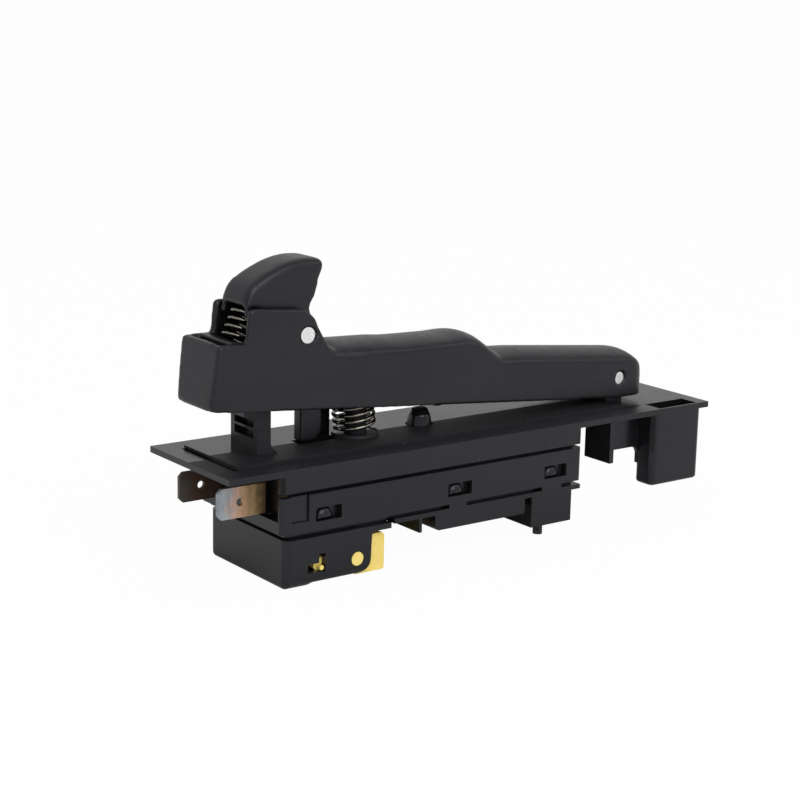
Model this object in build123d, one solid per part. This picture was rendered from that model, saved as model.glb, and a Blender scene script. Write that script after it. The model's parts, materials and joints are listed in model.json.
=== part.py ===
from build123d import *
import os
from math import atan2, cos, degrees, hypot, radians, sin, tan

os.makedirs("parts", exist_ok=True)

# A trigger switch for a power tool's handle.
# X runs along the switch from the terminal end to the pivot end, Y across it, Z up.
# The origin is where the housing's terminal-end wall meets the flange's underside, at mid-width.

# ---- plate, moulded as two half shells that meet at mid-width
PLATE_OVERHANG = 11.8
PLATE_TAIL = 38.3
PLATE_WIDTH = 30.8
FLANGE_THICKNESS = 1.3
PLATFORM_RISE = 0.7
PLATFORM_SIDE_MARGIN = 5.2
PLATFORM_SETBACK = 4.9
PLATFORM_END_MARGIN = 16.0
PLATFORM_RAMP = 8.0
PLATFORM_END_SLOT = 0.7
SEAM_GROOVE = 0.2

# ---- housing under the plate
HOUSING_LENGTH = 77.9
SKIRT_DEPTH = 3.53
SKIRT_CORNER = 1.1
CHAMBER_DEPTH = 12.7
CHAMBER_WALL = 1.3
FLOOR_THICKNESS = 1.2
SLEEVE_GAP = 0.84
SLEEVE_HEIGHT = 7.38
SLEEVE_WALL = 1.2
SNAP_CLEARANCE = 0.3
FIRST_WINDOW = 11.2
MIDDLE_WINDOW_SHARE = 0.5574
LAST_WINDOW_INSET = 7.5
WINDOW_LENGTH = 6.2
WINDOW_HEIGHT = 2.8
WINDOW_SILL = 1.63
BUMP_LENGTH = 4.1
BUMP_HEIGHT = 2.3
BUMP_REACH = 1.2
BUMP_SHIFT = 0.35
BARB_BEFORE_MIDDLE = 2.7
BARB_BEFORE_LAST = 3.6
BARB_AFTER = 1.8
SHALLOW_RECESS_START = 2.4
SHALLOW_RECESS_LENGTH = 4.1
SHALLOW_RECESS_HEIGHT = 5.3
SHALLOW_RECESS_DEPTH = 0.5

# ---- bottom cover under the chamber
COVER_GAP = 0.35
COVER_THICKNESS = 1.0
COVER_SIDE_MARGIN = 0.2
RIB_SETBACK = 6.3
RIB_THICKNESS = 0.7
RIB_LENGTH = 11.0
RIB_DEPTH = 4.0
LOWER_BOX_SETBACK = 10.4
LOWER_BOX_END_GAP = 2.3
LOWER_BOX_DEPTH = 4.3
LOWER_BOX_WALL = 1.2
LOWER_BOX_CORNER = 1.2
LOWER_BOX_END_CORNER = 0.6
END_BLOCK_INSET = 2.1
END_BLOCK_SIDE_MARGIN = 0.4
END_BLOCK_LENGTH = 11.3
END_BLOCK_DEPTH = 8.0
LOCATING_PIN_INSET = 2.8
LOCATING_PIN_RADIUS = 1.05
LOCATING_PIN_DEPTH = 9.9

# ---- lower cap at the terminal end
CAP_START = 1.6
CAP_LENGTH = 20.8
CAP_SIDE_MARGIN = 0.8
CAP_TOP_GAP = 1.75
CAP_DEPTH = 10.2
CAP_WALL = 1.3
CAP_CORNER = 1.8
CAP_TONGUE_REACH = 4.85
CAP_TONGUE_THICKNESS = 1.2
CAP_SPIGOT_DEPTH = 2.6
TONGUE_RIB_HALF_WIDTH = 8.0
TONGUE_RIB_DEPTH = 0.7
TONGUE_RIB_END_GAP = 0.3
CAP_HEEL_RADIUS = 0.8
CAP_HEEL_LENGTH = 5.2
CAP_HEEL_STEP = 1.2
CAP_FLOOR_RISE = 0.8
CAP_THROAT_RADIUS = 2.8
CAP_BACK_RADIUS = 1.0
CAP_BACK_LEAN = 0.3
SLOT_RISE = 2.6
SLOT_DROP = 1.2
SLOT_SIDE_REACH = 3.4
SLOT_SIDE_RISE = 0.8
SLOT_SIDE_DROP = 1.0
SLOT_WIDTH = 1.5

# ---- release lever inside the cap
RELEASE_PIVOT_X = 18.95
RELEASE_PIVOT_DROP = 6.35
RELEASE_BOSS_RADIUS = 1.45
RELEASE_RUNNING_FIT = 0.08
RELEASE_PAD_REACH = 4.1
RELEASE_PAD_INSET = 3.4
RELEASE_PAD_DROP = 1.0
RELEASE_PAD_CORNER = 0.5
RELEASE_PAD_BEVEL = 0.6
RELEASE_PAD_HEIGHT = 7.9
RELEASE_ARM_THICKNESS = 2.2
RELEASE_ARM_RISE = 2.2
RELEASE_ARM_DROP = 1.5
RELEASE_ARM_TIP = 1.2
RELEASE_ARM_TIP_RADIUS = 1.0
RELEASE_BOSS_INSET = 0.1
RELEASE_PIN_INSET = 0.2
RELEASE_PIN_DROP = 0.4
RELEASE_ROOTING = 0.5
RELEASE_PIN_X = 10.3
RELEASE_PIN_RADIUS = 0.5
RELEASE_SIDE_GAP = 0.15
RELEASE_SWING_ROOM = 5.0

# ---- pocket, rib and wall under the pivot end
POCKET_END_MARGIN = 2.0
POCKET_LENGTH = 14.9
POCKET_WIDTH = 5.8
POCKET_DEPTH = 17.8
POCKET_WALL = 1.3
POCKET_SIDE_WALL = 0.5
POCKET_LEFT_WALL = 2.1
POCKET_CORNER = 1.5
GUIDE_RIB_SETBACK = 13.2
GUIDE_RIB_THICKNESS = 1.2
GUIDE_RIB_LENGTH = 8.2
GUIDE_RIB_DEPTH = 9.3
GUIDE_WALL_THICKNESS = 1.0
GUIDE_WALL_DEPTH = 8.0
GUIDE_WALL_FILLET = 2.0

# ---- blade terminals
TAB_SPACING = 14.94
TAB_HEIGHT = 6.3
TAB_THICKNESS = 0.8
TAB_REACH = 9.83
TAB_TOP_DROP = 2.76
TAB_HOLE_RADIUS = 0.8
TAB_HOLE_INSET = 5.0
TAB_CHAMFER = 0.9
TAB_SLOT_CLEARANCE = 0.05
TAB_RECESS = 2.3

# ---- trigger, drawn at rest with its underside sloping down to the pivot
PIVOT_FROM_PLATE_END = 19.4
TRIGGER_PIVOT_RISE = 7.18
TRIGGER_PIN_RADIUS = 1.4
TRIGGER_WIDTH_FREE_END = 14.6
TRIGGER_WIDTH_PIVOT_END = 12.9
TRIGGER_TILT = 5.2
FREE_END_LEAN = 7.2
TRIGGER_PIN_RECESS = 0.6
TRIGGER_WALL = 1.4
TRIGGER_ROOF = 0.9
TRIGGER_END_RADIUS = 4.0
TRIGGER_FREE_END = -10.77
TRIGGER_BEYOND_PIVOT = 8.2
TRIGGER_EDGE_BEND = 9.4
TRIGGER_EDGE_FREE = 12.4
TRIGGER_EDGE_PIVOT = 2.7
TRIGGER_EDGE_RADIUS = 0.6
TRIGGER_FREE_CORNER = 1.8
FREE_END_HEIGHT = 13.1
EAR_SETBACK = 8.03
EAR_FOOT_HEIGHT = 13.0
EAR_HEIGHT = 19.7
EAR_CORNER = 1.2
EAR_BACK = 22.33
EAR_BACK_HEIGHT = 18.5
EAR_BACK_RADIUS = 3.0
REST_START = 28.07
REST_START_HEIGHT = 8.15
REST_START_RADIUS = 8.5
REST_DIP = 46.8
REST_DIP_HEIGHT = 6.9
REST_DIP_RADIUS = 40.0
STEP_CREST = 64.8
STEP_CREST_HEIGHT = 6.95
STEP_CREST_RADIUS = 6.0
STEP_FOOT = 72.0
STEP_FOOT_HEIGHT = 1.7
STEP_FOOT_RADIUS = 3.0
END_SLOPE = 4.6
END_SLOPE_HEIGHT = 7.75
END_SLOPE_RADIUS = 6.0
END_FACE_HEIGHT = 4.6
END_FACE_RADIUS = 4.5
CROWN_RISE = 2.2
CROWN_ROOTING = 0.8
CAVITY_STEP_SHIFT = 0.4
CAVITY_CORNER = 0.9
CAVITY_END_GAP = 2.4
MOUTH_START = -7.7
MOUTH_END = 16.2
WELL_END = -5.5
SHELF_END = 5.0
SHELF_UNDERSIDE = 21.6

# ---- pivot lug, post and spring cup on the platform
PIVOT_RUNNING_FIT = 0.05
LUG_WIDTH = 9.0
LUG_RADIUS = 2.4
POST_START = 0.9
POST_LENGTH = 3.2
POST_WIDTH = 10.0
POST_TOP = 12.0
POST_FLARE = 1.6
POST_NOTCH_DEPTH = 1.7
POST_NOTCH_WIDTH = 7.2
POST_CORNER = 0.6
CATCH_HEIGHT = 0.5
GUARD_START = 18.5
GUARD_Y = 3.9
GUARD_THICKNESS = 1.2
GUARD_LENGTH = 5.7
GUARD_HEIGHT = 7.0
CORE_RADIUS = 2.4
CORE_HEIGHT = 6.2
CUP_X = 28.0
CUP_RADIUS = 5.0
CUP_WALL = 0.35
CUP_HEIGHT = 0.6
CUP_FLOOR = 0.4

# ---- lock lever on the trigger
LOCK_PIVOT_X = 11.3
LOCK_PIVOT_RISE = 25.65
LOCK_PIN_RADIUS = 1.63
LOCK_RUNNING_FIT = 0.05
LOCK_WIDTH = 9.8
LOCK_HUB_RADIUS = 3.6
LOCK_CROWN = 1.2
LOCK_CROWN_FLOOR = 9.5
LOCK_STOP_LENGTH = 2.4
LOCK_STOP_THICKNESS = 0.9
LOCK_STOP_WIDTH = 1.2
LOCK_STOP_INSET = 0.2
LOCK_STOP_ROOTING = 0.5
SPRING_SEAT_MARGIN = 0.5
FIN_CROWN = ((-11.6, 9.9), (-8.0, 12.8), (-3.8, 14.4), (0.4, 14.95), (2.9, 14.75))
FIN_NOSE = ((4.3, 14.2), (4.6, 13.2))
FIN_BACK = ((2.75, 9.2), (1.9, 4.5))
LEG_SHANK = 2.9
LEG_SHANK_BACK = 2.6
LEG_SHANK_ROOTING = 1.0
LEG_SHOULDER_DROP = 7.0
LEG_SHOULDER_RADIUS = 2.0
LEG_BACK_DROP = 6.4
LEG_HEEL_RADIUS = 0.3
LEG_CALF_HEIGHT = 11.0
LEG_START = 13.6
LEG_LENGTH = 5.1
LEG_WIDTH = 2.9
LEG_FOOT_GAP = 0.3
LEG_TOE_RADIUS = 2.5
LEG_WINDOW_START = 13.2
LEG_WINDOW_LENGTH = 9.5
LEG_WINDOW_SIDE_GAP = 0.35
LEDGE_LENGTH = 2.0
LEDGE_DROP = 1.7

# ---- springs
RETURN_SPRING_RADIUS = 4.6
RETURN_SPRING_WIRE = 0.4
RETURN_SPRING_TOP = 17.0
RETURN_SPRING_LEAN = 8.0
RETURN_SPRING_TURNS = 9.0
LOCK_SPRING_RADIUS = 3.0
LOCK_SPRING_WIRE = 0.32
LOCK_SPRING_FOOT = (-1.4, 24.3)
LOCK_SPRING_HEAD = (1.5, 30.8)
LOCK_SPRING_TURNS = 4.0
PLUNGER_SPRING_RADIUS = 2.4
PLUNGER_SPRING_WIRE = 0.25
PLUNGER_SPRING_TURNS = 6.0

# ---- plunger and contacts
PLUNGER_X = 44.75
PLUNGER_TOP_RADIUS = 1.7
PLUNGER_TOP_CORNER = 0.5
PLUNGER_SHOULDER_RADIUS = 2.4
PLUNGER_SHOULDER_RISE = 2.1
PLUNGER_SHOULDER_CORNER = 1.2
PLUNGER_RADIUS = 2.7
PLUNGER_RISE = 3.5
PLUNGER_TRAVEL = 3.2
PLUNGER_BORE_GAP = 0.3
PLUNGER_GUIDE_RADIUS = 1.5
PLUNGER_GUIDE_LENGTH = 4.0
PRESS_RIB_GAP = 1.5
PRESS_RIB_THICKNESS = 1.4
YOKE_LENGTH = 4.0
YOKE_SPAN = 20.4
YOKE_THICKNESS = 2.1
YOKE_TOP_GAP = 0.3
BRIDGE_LENGTH = 16.3
BRIDGE_WIDTH = 3.0
BRIDGE_THICKNESS = 0.8
TIP_RADIUS = 1.2
TIP_HEIGHT = 0.5
TIP_INSET = 1.8
CONTACT_CLOSED_GAP = 0.04
PAD_OVERHANG = 1.0
BLADE_HEIGHT = 2.2
OUTPUT_BLADE_INSET = 7.9
SUPPORT_LENGTH = 1.5
SUPPORT_END_GAP = 0.5
FEED_SUPPORT_START = 18.0

# ---- derived places
HALF_PLATE = PLATE_WIDTH / 2
PLATE_START = -PLATE_OVERHANG
PLATE_END = HOUSING_LENGTH + PLATE_TAIL
PLATFORM_TOP = FLANGE_THICKNESS + PLATFORM_RISE
PLATFORM_START = PLATE_START + PLATFORM_SETBACK
PLATFORM_END = PLATE_END - PLATFORM_END_MARGIN
PLATFORM_HALF = HALF_PLATE - PLATFORM_SIDE_MARGIN
SLEEVE_TOP = -SKIRT_DEPTH - SLEEVE_GAP
SLEEVE_BOTTOM = SLEEVE_TOP - SLEEVE_HEIGHT
SHELL_INSET = SLEEVE_WALL + SNAP_CLEARANCE
CHAMBER_HALF = HALF_PLATE - SHELL_INSET
CHAMBER_START = SHELL_INSET
CHAMBER_END = HOUSING_LENGTH - SHELL_INSET
INNER_HALF = CHAMBER_HALF - CHAMBER_WALL
INNER_START = CHAMBER_START + CHAMBER_WALL
INNER_END = CHAMBER_END - CHAMBER_WALL
FLOOR_TOP = -CHAMBER_DEPTH + FLOOR_THICKNESS
CAP_TOP = SLEEVE_BOTTOM - CAP_TOP_GAP
CAP_BOTTOM = CAP_TOP - CAP_DEPTH
CAP_END = CAP_START + CAP_LENGTH
CAP_HALF = HALF_PLATE - CAP_SIDE_MARGIN
LAST_WINDOW = HOUSING_LENGTH - LAST_WINDOW_INSET
MIDDLE_WINDOW = FIRST_WINDOW + (LAST_WINDOW - FIRST_WINDOW) * MIDDLE_WINDOW_SHARE
WINDOW_CENTRES = (FIRST_WINDOW, MIDDLE_WINDOW, LAST_WINDOW)
BARB_SPANS = (
    (MIDDLE_WINDOW - BARB_BEFORE_MIDDLE, MIDDLE_WINDOW + BARB_AFTER),
    (LAST_WINDOW - BARB_BEFORE_LAST, LAST_WINDOW + BARB_AFTER),
)
COVER_START = CAP_END + CAP_TONGUE_REACH + COVER_GAP
COVER_HALF = HALF_PLATE - COVER_SIDE_MARGIN
RIB_START = COVER_START + RIB_SETBACK
LOWER_BOX_START = COVER_START + LOWER_BOX_SETBACK
END_BLOCK_END = HOUSING_LENGTH - END_BLOCK_INSET
END_BLOCK_START = END_BLOCK_END - END_BLOCK_LENGTH
END_BLOCK_HALF = COVER_HALF - END_BLOCK_SIDE_MARGIN
LOWER_BOX_END = END_BLOCK_START - LOWER_BOX_END_GAP
POCKET_END = PLATE_END - POCKET_END_MARGIN
POCKET_START = POCKET_END - POCKET_LENGTH
GUIDE_RIB_START = POCKET_START - GUIDE_RIB_SETBACK
TRIGGER_PIVOT_X = PLATE_END - PIVOT_FROM_PLATE_END
TRIGGER_PIVOT_END = TRIGGER_PIVOT_X + TRIGGER_BEYOND_PIVOT
OUTPUT_BLADE_END = HOUSING_LENGTH - OUTPUT_BLADE_INSET
TAB_Y = TAB_SPACING / 2
TAB_TOP = -TAB_TOP_DROP
TAB_BOTTOM = TAB_TOP - TAB_HEIGHT
RELEASE_PIVOT_Z = CAP_TOP - RELEASE_PIVOT_DROP
PLUNGER_TOP = PLATFORM_TOP + PLUNGER_RISE
YOKE_TOP = -YOKE_TOP_GAP
YOKE_BOTTOM = YOKE_TOP - YOKE_THICKNESS
BRIDGE_BOTTOM = YOKE_BOTTOM - BRIDGE_THICKNESS
MOVING_TIP_BOTTOM = BRIDGE_BOTTOM - TIP_HEIGHT
FIXED_TIP_TOP = MOVING_TIP_BOTTOM - PLUNGER_TRAVEL - CONTACT_CLOSED_GAP
PAD_TOP = FIXED_TIP_TOP - TIP_HEIGHT
PAD_BOTTOM = PAD_TOP - TAB_THICKNESS
BRIDGE_START = PLUNGER_X - BRIDGE_LENGTH / 2
BRIDGE_END = PLUNGER_X + BRIDGE_LENGTH / 2
TIP_PLACES = (BRIDGE_START + TIP_INSET, BRIDGE_END - TIP_INSET)
POLE_HALF_WIDTH = BRIDGE_WIDTH / 2
FAR = 60.0
SIDES = {"front": -1, "rear": 1}


def block(x0, x1, y0, y1, z0, z1):
    """A box between two corners."""
    size = Box(x1 - x0, y1 - y0, z1 - z0)
    return Pos((x0 + x1) / 2, (y0 + y1) / 2, (z0 + z1) / 2) * size


def outline(corners):
    """A flat face through corners given as (along, up, radius)."""
    face = make_face(Polyline(*[(a, b) for a, b, _ in corners], close=True))
    for radius in sorted({r for _, _, r in corners if r > 0}):
        wanted = [(a, b) for a, b, r in corners if r == radius]
        picked = [v for v in face.vertices() if any(hypot(v.X - a, v.Y - b) < 1e-5 for a, b in wanted)]
        face = fillet(picked, radius)
    return face


def side_prism(corners, y0, y1):
    """A side outline (x, z, radius) extruded across the switch."""
    face = Plane.XZ * outline(corners)
    return Pos(0, y0, 0) * extrude(face, amount=y1 - y0, dir=(0, 1, 0))


def plan_prism(corners, z0, z1):
    """A plan outline (x, y, radius) extruded upwards."""
    return Pos(0, 0, z0) * extrude(outline(corners), amount=z1 - z0, dir=(0, 0, 1))


def rod_y(x, z, radius, y0, y1):
    """A round rod across the switch."""
    return Pos(x, (y0 + y1) / 2, z) * Rot(90, 0, 0) * Cylinder(radius, y1 - y0)


def rod_z(x, y, radius, z0, z1):
    """A round upright."""
    return Pos(x, y, (z0 + z1) / 2) * Cylinder(radius, z1 - z0)


def both_sides(solid):
    """A solid with its mirror image in the mid-plane."""
    return solid + mirror(solid, about=Plane.XZ)


def coil(radius, wire, length, turns):
    """A helical spring that stands on the origin."""
    path = Helix(pitch=(length - 2 * wire) / turns, height=length - 2 * wire, radius=radius - wire)
    section = Plane(origin=path @ 0, z_dir=path % 0) * Circle(wire)
    return Pos(0, 0, wire) * sweep(section, path=path, is_frenet=True)


# ---------------------------------------------------------------- base half shells


def plate():
    """Flange with a raised platform that ramps down before the pivot end."""
    flange = block(PLATE_START, PLATE_END, -HALF_PLATE, HALF_PLATE, 0, FLANGE_THICKNESS)
    ramp = [
        (PLATFORM_START, 0, 0),
        (PLATFORM_END, 0, 0),
        (PLATFORM_END, FLANGE_THICKNESS, 0),
        (PLATFORM_END - PLATFORM_RAMP, PLATFORM_TOP, 0),
        (PLATFORM_START, PLATFORM_TOP, 0),
    ]
    platform = side_prism(ramp, -PLATFORM_HALF, PLATFORM_HALF)
    end_slot = block(
        PLATFORM_START - PLATFORM_END_SLOT, PLATFORM_START,
        -PLATFORM_HALF, PLATFORM_HALF,
        FLANGE_THICKNESS / 2, PLATFORM_TOP,
    )
    return flange + platform - end_slot


def chamber():
    """Skirt under the flange, and the deeper box that the sleeve closes round."""
    corners = [(0, -HALF_PLATE), (HOUSING_LENGTH, -HALF_PLATE), (HOUSING_LENGTH, HALF_PLATE), (0, HALF_PLATE)]
    skirt = plan_prism([(x, y, SKIRT_CORNER) for x, y in corners], -SKIRT_DEPTH, 0)
    box = block(CHAMBER_START, CHAMBER_END, -CHAMBER_HALF, CHAMBER_HALF, -CHAMBER_DEPTH, 0)
    hollow = block(INNER_START, INNER_END, -INNER_HALF, INNER_HALF, FLOOR_TOP, 0)
    spigot_end = CAP_END - CAP_WALL - SNAP_CLEARANCE
    spigot_half = CAP_HALF - CAP_WALL - SNAP_CLEARANCE
    spigot = block(
        CAP_START + CAP_WALL + SNAP_CLEARANCE, spigot_end,
        -spigot_half, spigot_half, -CHAMBER_DEPTH - CAP_SPIGOT_DEPTH, -CHAMBER_DEPTH,
    )
    tongue_rib = block(
        spigot_end - CAP_WALL, CAP_END + CAP_TONGUE_REACH - TONGUE_RIB_END_GAP,
        -TONGUE_RIB_HALF_WIDTH, TONGUE_RIB_HALF_WIDTH, -CHAMBER_DEPTH - TONGUE_RIB_DEPTH, -CHAMBER_DEPTH,
    )
    return skirt + box + spigot + tongue_rib - hollow


def snap_bumps():
    """Half domes on the chamber wall, flat underneath, that catch the sills of the sleeve's windows."""
    bumps = []
    foot = window_bottom() + SNAP_CLEARANCE
    for centre in WINDOW_CENTRES:
        dome = scale(Sphere(1), by=(BUMP_LENGTH / 2, BUMP_REACH, BUMP_HEIGHT))
        bumps.append(Pos(centre - BUMP_SHIFT, -CHAMBER_HALF, foot) * dome)
    keep = block(0, HOUSING_LENGTH, -FAR, -CHAMBER_HALF + CHAMBER_WALL / 2, foot, 0)
    return both_sides(Part() + bumps & keep)


def window_bottom():
    """Height of the window sills in the sleeve."""
    return SLEEVE_BOTTOM + WINDOW_SILL


def pocket():
    """Deep narrow pocket that opens in the flange at the pivot end."""
    y0 = -HALF_PLATE
    y1 = y0 + POCKET_WIDTH
    bottom = FLANGE_THICKNESS - POCKET_DEPTH
    outer = [(POCKET_START, y0), (POCKET_END, y0), (POCKET_END, y1), (POCKET_START, y1)]
    shell = plan_prism([(x, y, POCKET_CORNER) for x, y in outer], bottom, FLANGE_THICKNESS)
    shell = fillet(shell.faces().sort_by(Axis.Z)[0].edges(), POCKET_CORNER / 2)
    void = block(
        POCKET_START + POCKET_LEFT_WALL, POCKET_END - POCKET_WALL,
        y0 + POCKET_SIDE_WALL, y1 - POCKET_SIDE_WALL,
        bottom + FLANGE_THICKNESS, FAR,
    )
    return shell, void


def guide_wall():
    """Rib and wall between the housing and the pocket."""
    rib_end = -HALF_PLATE + GUIDE_RIB_LENGTH
    rib = block(
        GUIDE_RIB_START, GUIDE_RIB_START + GUIDE_RIB_THICKNESS,
        -HALF_PLATE, rib_end, -GUIDE_RIB_DEPTH, 0,
    )
    inside_pocket = POCKET_START + POCKET_CORNER
    side = [
        (GUIDE_RIB_START, 0, 0),
        (GUIDE_RIB_START, -GUIDE_WALL_DEPTH, 0),
        (POCKET_START, -GUIDE_WALL_DEPTH, GUIDE_WALL_FILLET),
        (POCKET_START, -GUIDE_WALL_DEPTH - 2 * GUIDE_WALL_FILLET, 0),
        (inside_pocket, -GUIDE_WALL_DEPTH - 2 * GUIDE_WALL_FILLET, 0),
        (inside_pocket, 0, 0),
    ]
    wall_y = -HALF_PLATE + POCKET_WIDTH
    return rib + side_prism(side, wall_y - GUIDE_WALL_THICKNESS, wall_y)


def pivot_lug():
    """Lug between the trigger's walls, with the running bore for the trigger pin."""
    head = rod_y(TRIGGER_PIVOT_X, TRIGGER_PIVOT_RISE, LUG_RADIUS, -LUG_WIDTH / 2, LUG_WIDTH / 2)
    stem = block(
        TRIGGER_PIVOT_X - LUG_RADIUS, TRIGGER_PIVOT_X + LUG_RADIUS,
        -LUG_WIDTH / 2, LUG_WIDTH / 2, 0, TRIGGER_PIVOT_RISE,
    )
    bore = rod_y(TRIGGER_PIVOT_X, TRIGGER_PIVOT_RISE, TRIGGER_PIN_RADIUS + PIVOT_RUNNING_FIT, -FAR, FAR)
    return head + stem, bore


def end_post():
    """Post across the platform with a foot flared inwards and a latch notch, under the trigger's free end."""
    x0 = POST_START
    x1 = POST_START + POST_LENGTH
    side = [
        (x0, FLANGE_THICKNESS, 0),
        (x0, POST_TOP, POST_CORNER),
        (x1, POST_TOP, POST_CORNER),
        (x1, PLATFORM_TOP + POST_FLARE, POST_FLARE),
        (x1 + POST_FLARE, PLATFORM_TOP, 0),
        (x1 + POST_FLARE, FLANGE_THICKNESS, 0),
    ]
    post = side_prism(side, -POST_WIDTH / 2, POST_WIDTH / 2)
    notch_foot = PLATFORM_TOP + 2 * POST_FLARE
    half = POST_NOTCH_WIDTH / 2
    notch = block(x0, x0 + POST_NOTCH_DEPTH, -half, half, notch_foot, notch_foot + POST_NOTCH_WIDTH / 2)
    catch = [
        (x0, notch_foot + POST_NOTCH_DEPTH, 0),
        (x0 + POST_NOTCH_DEPTH, notch_foot + POST_NOTCH_DEPTH / 2, 0),
        (x0 + POST_NOTCH_DEPTH, notch_foot + POST_NOTCH_DEPTH + CATCH_HEIGHT, 0),
        (x0, notch_foot + POST_NOTCH_DEPTH + CATCH_HEIGHT, 0),
    ]
    return post - notch + side_prism(catch, -half, half)


def leg_guard():
    """Low wall beside the lock lever's leg, behind the spring cup."""
    return block(
        GUARD_START, GUARD_START + GUARD_LENGTH, GUARD_Y, GUARD_Y + GUARD_THICKNESS,
        FLANGE_THICKNESS, PLATFORM_TOP + GUARD_HEIGHT,
    )


def spring_cup():
    """Round cup that the return spring stands in, with a core inside the spring."""
    outer = rod_z(CUP_X, 0, CUP_RADIUS, FLANGE_THICKNESS, PLATFORM_TOP + CUP_HEIGHT)
    inner = rod_z(CUP_X, 0, CUP_RADIUS - CUP_WALL, PLATFORM_TOP + CUP_FLOOR, FAR)
    core = rod_z(CUP_X, 0, CORE_RADIUS, FLANGE_THICKNESS, PLATFORM_TOP + CORE_HEIGHT)
    return outer - inner + fillet(core.edges().sort_by(Axis.Z)[-1], CORE_RADIUS / 4)


def leg_window():
    """Window that the lock lever's leg goes down through, over a ledge that blocks an untilted leg."""
    half = LEG_WIDTH / 2 + LEG_WINDOW_SIDE_GAP
    x1 = LEG_WINDOW_START + LEG_WINDOW_LENGTH
    window = block(LEG_WINDOW_START, x1, -half, half, -CHAMBER_DEPTH / 2, FAR)
    ledge_top = -LEDGE_DROP
    ledge = block(
        LEG_WINDOW_START - CHAMBER_WALL, LEG_WINDOW_START + LEDGE_LENGTH,
        -half - CHAMBER_WALL, half + CHAMBER_WALL, ledge_top - CHAMBER_WALL, ledge_top,
    )
    hanger = block(
        LEG_WINDOW_START - CHAMBER_WALL, LEG_WINDOW_START,
        -half - CHAMBER_WALL, half + CHAMBER_WALL, ledge_top - CHAMBER_WALL, 0,
    )
    return window, ledge + hanger


def contact_supports():
    """Blocks on the chamber floor that the fixed contact pads and blades lie on."""
    last = OUTPUT_BLADE_END - SUPPORT_END_GAP - SUPPORT_LENGTH
    spans = [(x, x + SUPPORT_LENGTH) for x in (INNER_START, FEED_SUPPORT_START, last)]
    spans += [(x - TIP_RADIUS, x + TIP_RADIUS) for x in TIP_PLACES]
    supports = []
    for x0, x1 in spans:
        y0 = -TAB_Y - POLE_HALF_WIDTH
        supports.append(block(x0, x1, y0, y0 + BRIDGE_WIDTH, FLOOR_TOP, PAD_BOTTOM))
    return both_sides(Part() + supports)


def tab_slots():
    """Slots in the terminal-end wall that hold the blade terminals, with a recess beside each."""
    gap = TAB_SLOT_CLEARANCE
    slot = block(
        -PLATE_OVERHANG, INNER_START + gap,
        -TAB_Y - TAB_THICKNESS / 2 - gap, -TAB_Y + TAB_THICKNESS / 2 + gap,
        TAB_BOTTOM - gap, TAB_TOP + gap,
    )
    recess = block(
        -PLATE_OVERHANG, TAB_RECESS, -HALF_PLATE + SLEEVE_WALL, -TAB_Y - TAB_THICKNESS / 2,
        TAB_BOTTOM - SNAP_CLEARANCE, 0,
    )
    return both_sides(slot + recess)


def base_halves():
    """The base as its front and rear half shells."""
    pocket_shell, pocket_void = pocket()
    lug, lug_bore = pivot_lug()
    window, ledge = leg_window()
    body = plate() + chamber() + snap_bumps() + pocket_shell + guide_wall() + lug + end_post() + leg_guard()
    body = body + spring_cup() - window + ledge + contact_supports()
    body = body - pocket_void - lug_bore - tab_slots()
    body = body - rod_z(PLUNGER_X, 0, PLUNGER_RADIUS + PLUNGER_BORE_GAP, YOKE_BOTTOM, FAR)
    groove = Rot(45, 0, 0) * Box(2 * PLATE_OVERHANG, SEAM_GROOVE, SEAM_GROOVE)
    seam = Pos(PLATE_START, 0, PLATFORM_TOP) * groove
    body = body - (seam & block(PLATFORM_START, POST_START, -1, 1, 0, FAR))
    halves = {}
    for name, side in SIDES.items():
        keep = block(-FAR, 2 * PLATE_END, min(0, side * FAR), max(0, side * FAR), -FAR, FAR)
        halves["base_" + name] = body & keep
    return halves


# ---------------------------------------------------------------- sleeve, cover and cap


def housing_sleeve():
    """Ring that snaps over the chamber, with windows for its bumps."""
    corners = [(0, -HALF_PLATE), (HOUSING_LENGTH, -HALF_PLATE), (HOUSING_LENGTH, HALF_PLATE), (0, HALF_PLATE)]
    ring = plan_prism([(x, y, SKIRT_CORNER) for x, y in corners], SLEEVE_BOTTOM, SLEEVE_TOP)
    ring = ring - block(
        SLEEVE_WALL, HOUSING_LENGTH - SLEEVE_WALL,
        -HALF_PLATE + SLEEVE_WALL, HALF_PLATE - SLEEVE_WALL, SLEEVE_BOTTOM, SLEEVE_TOP,
    )
    for x0, x1 in BARB_SPANS:
        ring = ring + both_sides(
            block(x0, x1, -HALF_PLATE, -HALF_PLATE + SLEEVE_WALL, -CHAMBER_DEPTH, SLEEVE_BOTTOM)
        )
    for centre in WINDOW_CENTRES:
        ring = ring - block(
            centre - WINDOW_LENGTH / 2, centre + WINDOW_LENGTH / 2, -FAR, FAR,
            window_bottom(), window_bottom() + WINDOW_HEIGHT,
        )
    recess = block(
        SHALLOW_RECESS_START, SHALLOW_RECESS_START + SHALLOW_RECESS_LENGTH,
        -HALF_PLATE, -HALF_PLATE + SHALLOW_RECESS_DEPTH,
        SLEEVE_TOP - SHALLOW_RECESS_HEIGHT, SLEEVE_TOP,
    )
    tab_window = block(
        0, SLEEVE_WALL, -HALF_PLATE + SLEEVE_WALL, -TAB_Y + TAB_THICKNESS,
        TAB_BOTTOM - SNAP_CLEARANCE, SLEEVE_TOP,
    )
    return ring - both_sides(recess + tab_window)


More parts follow.
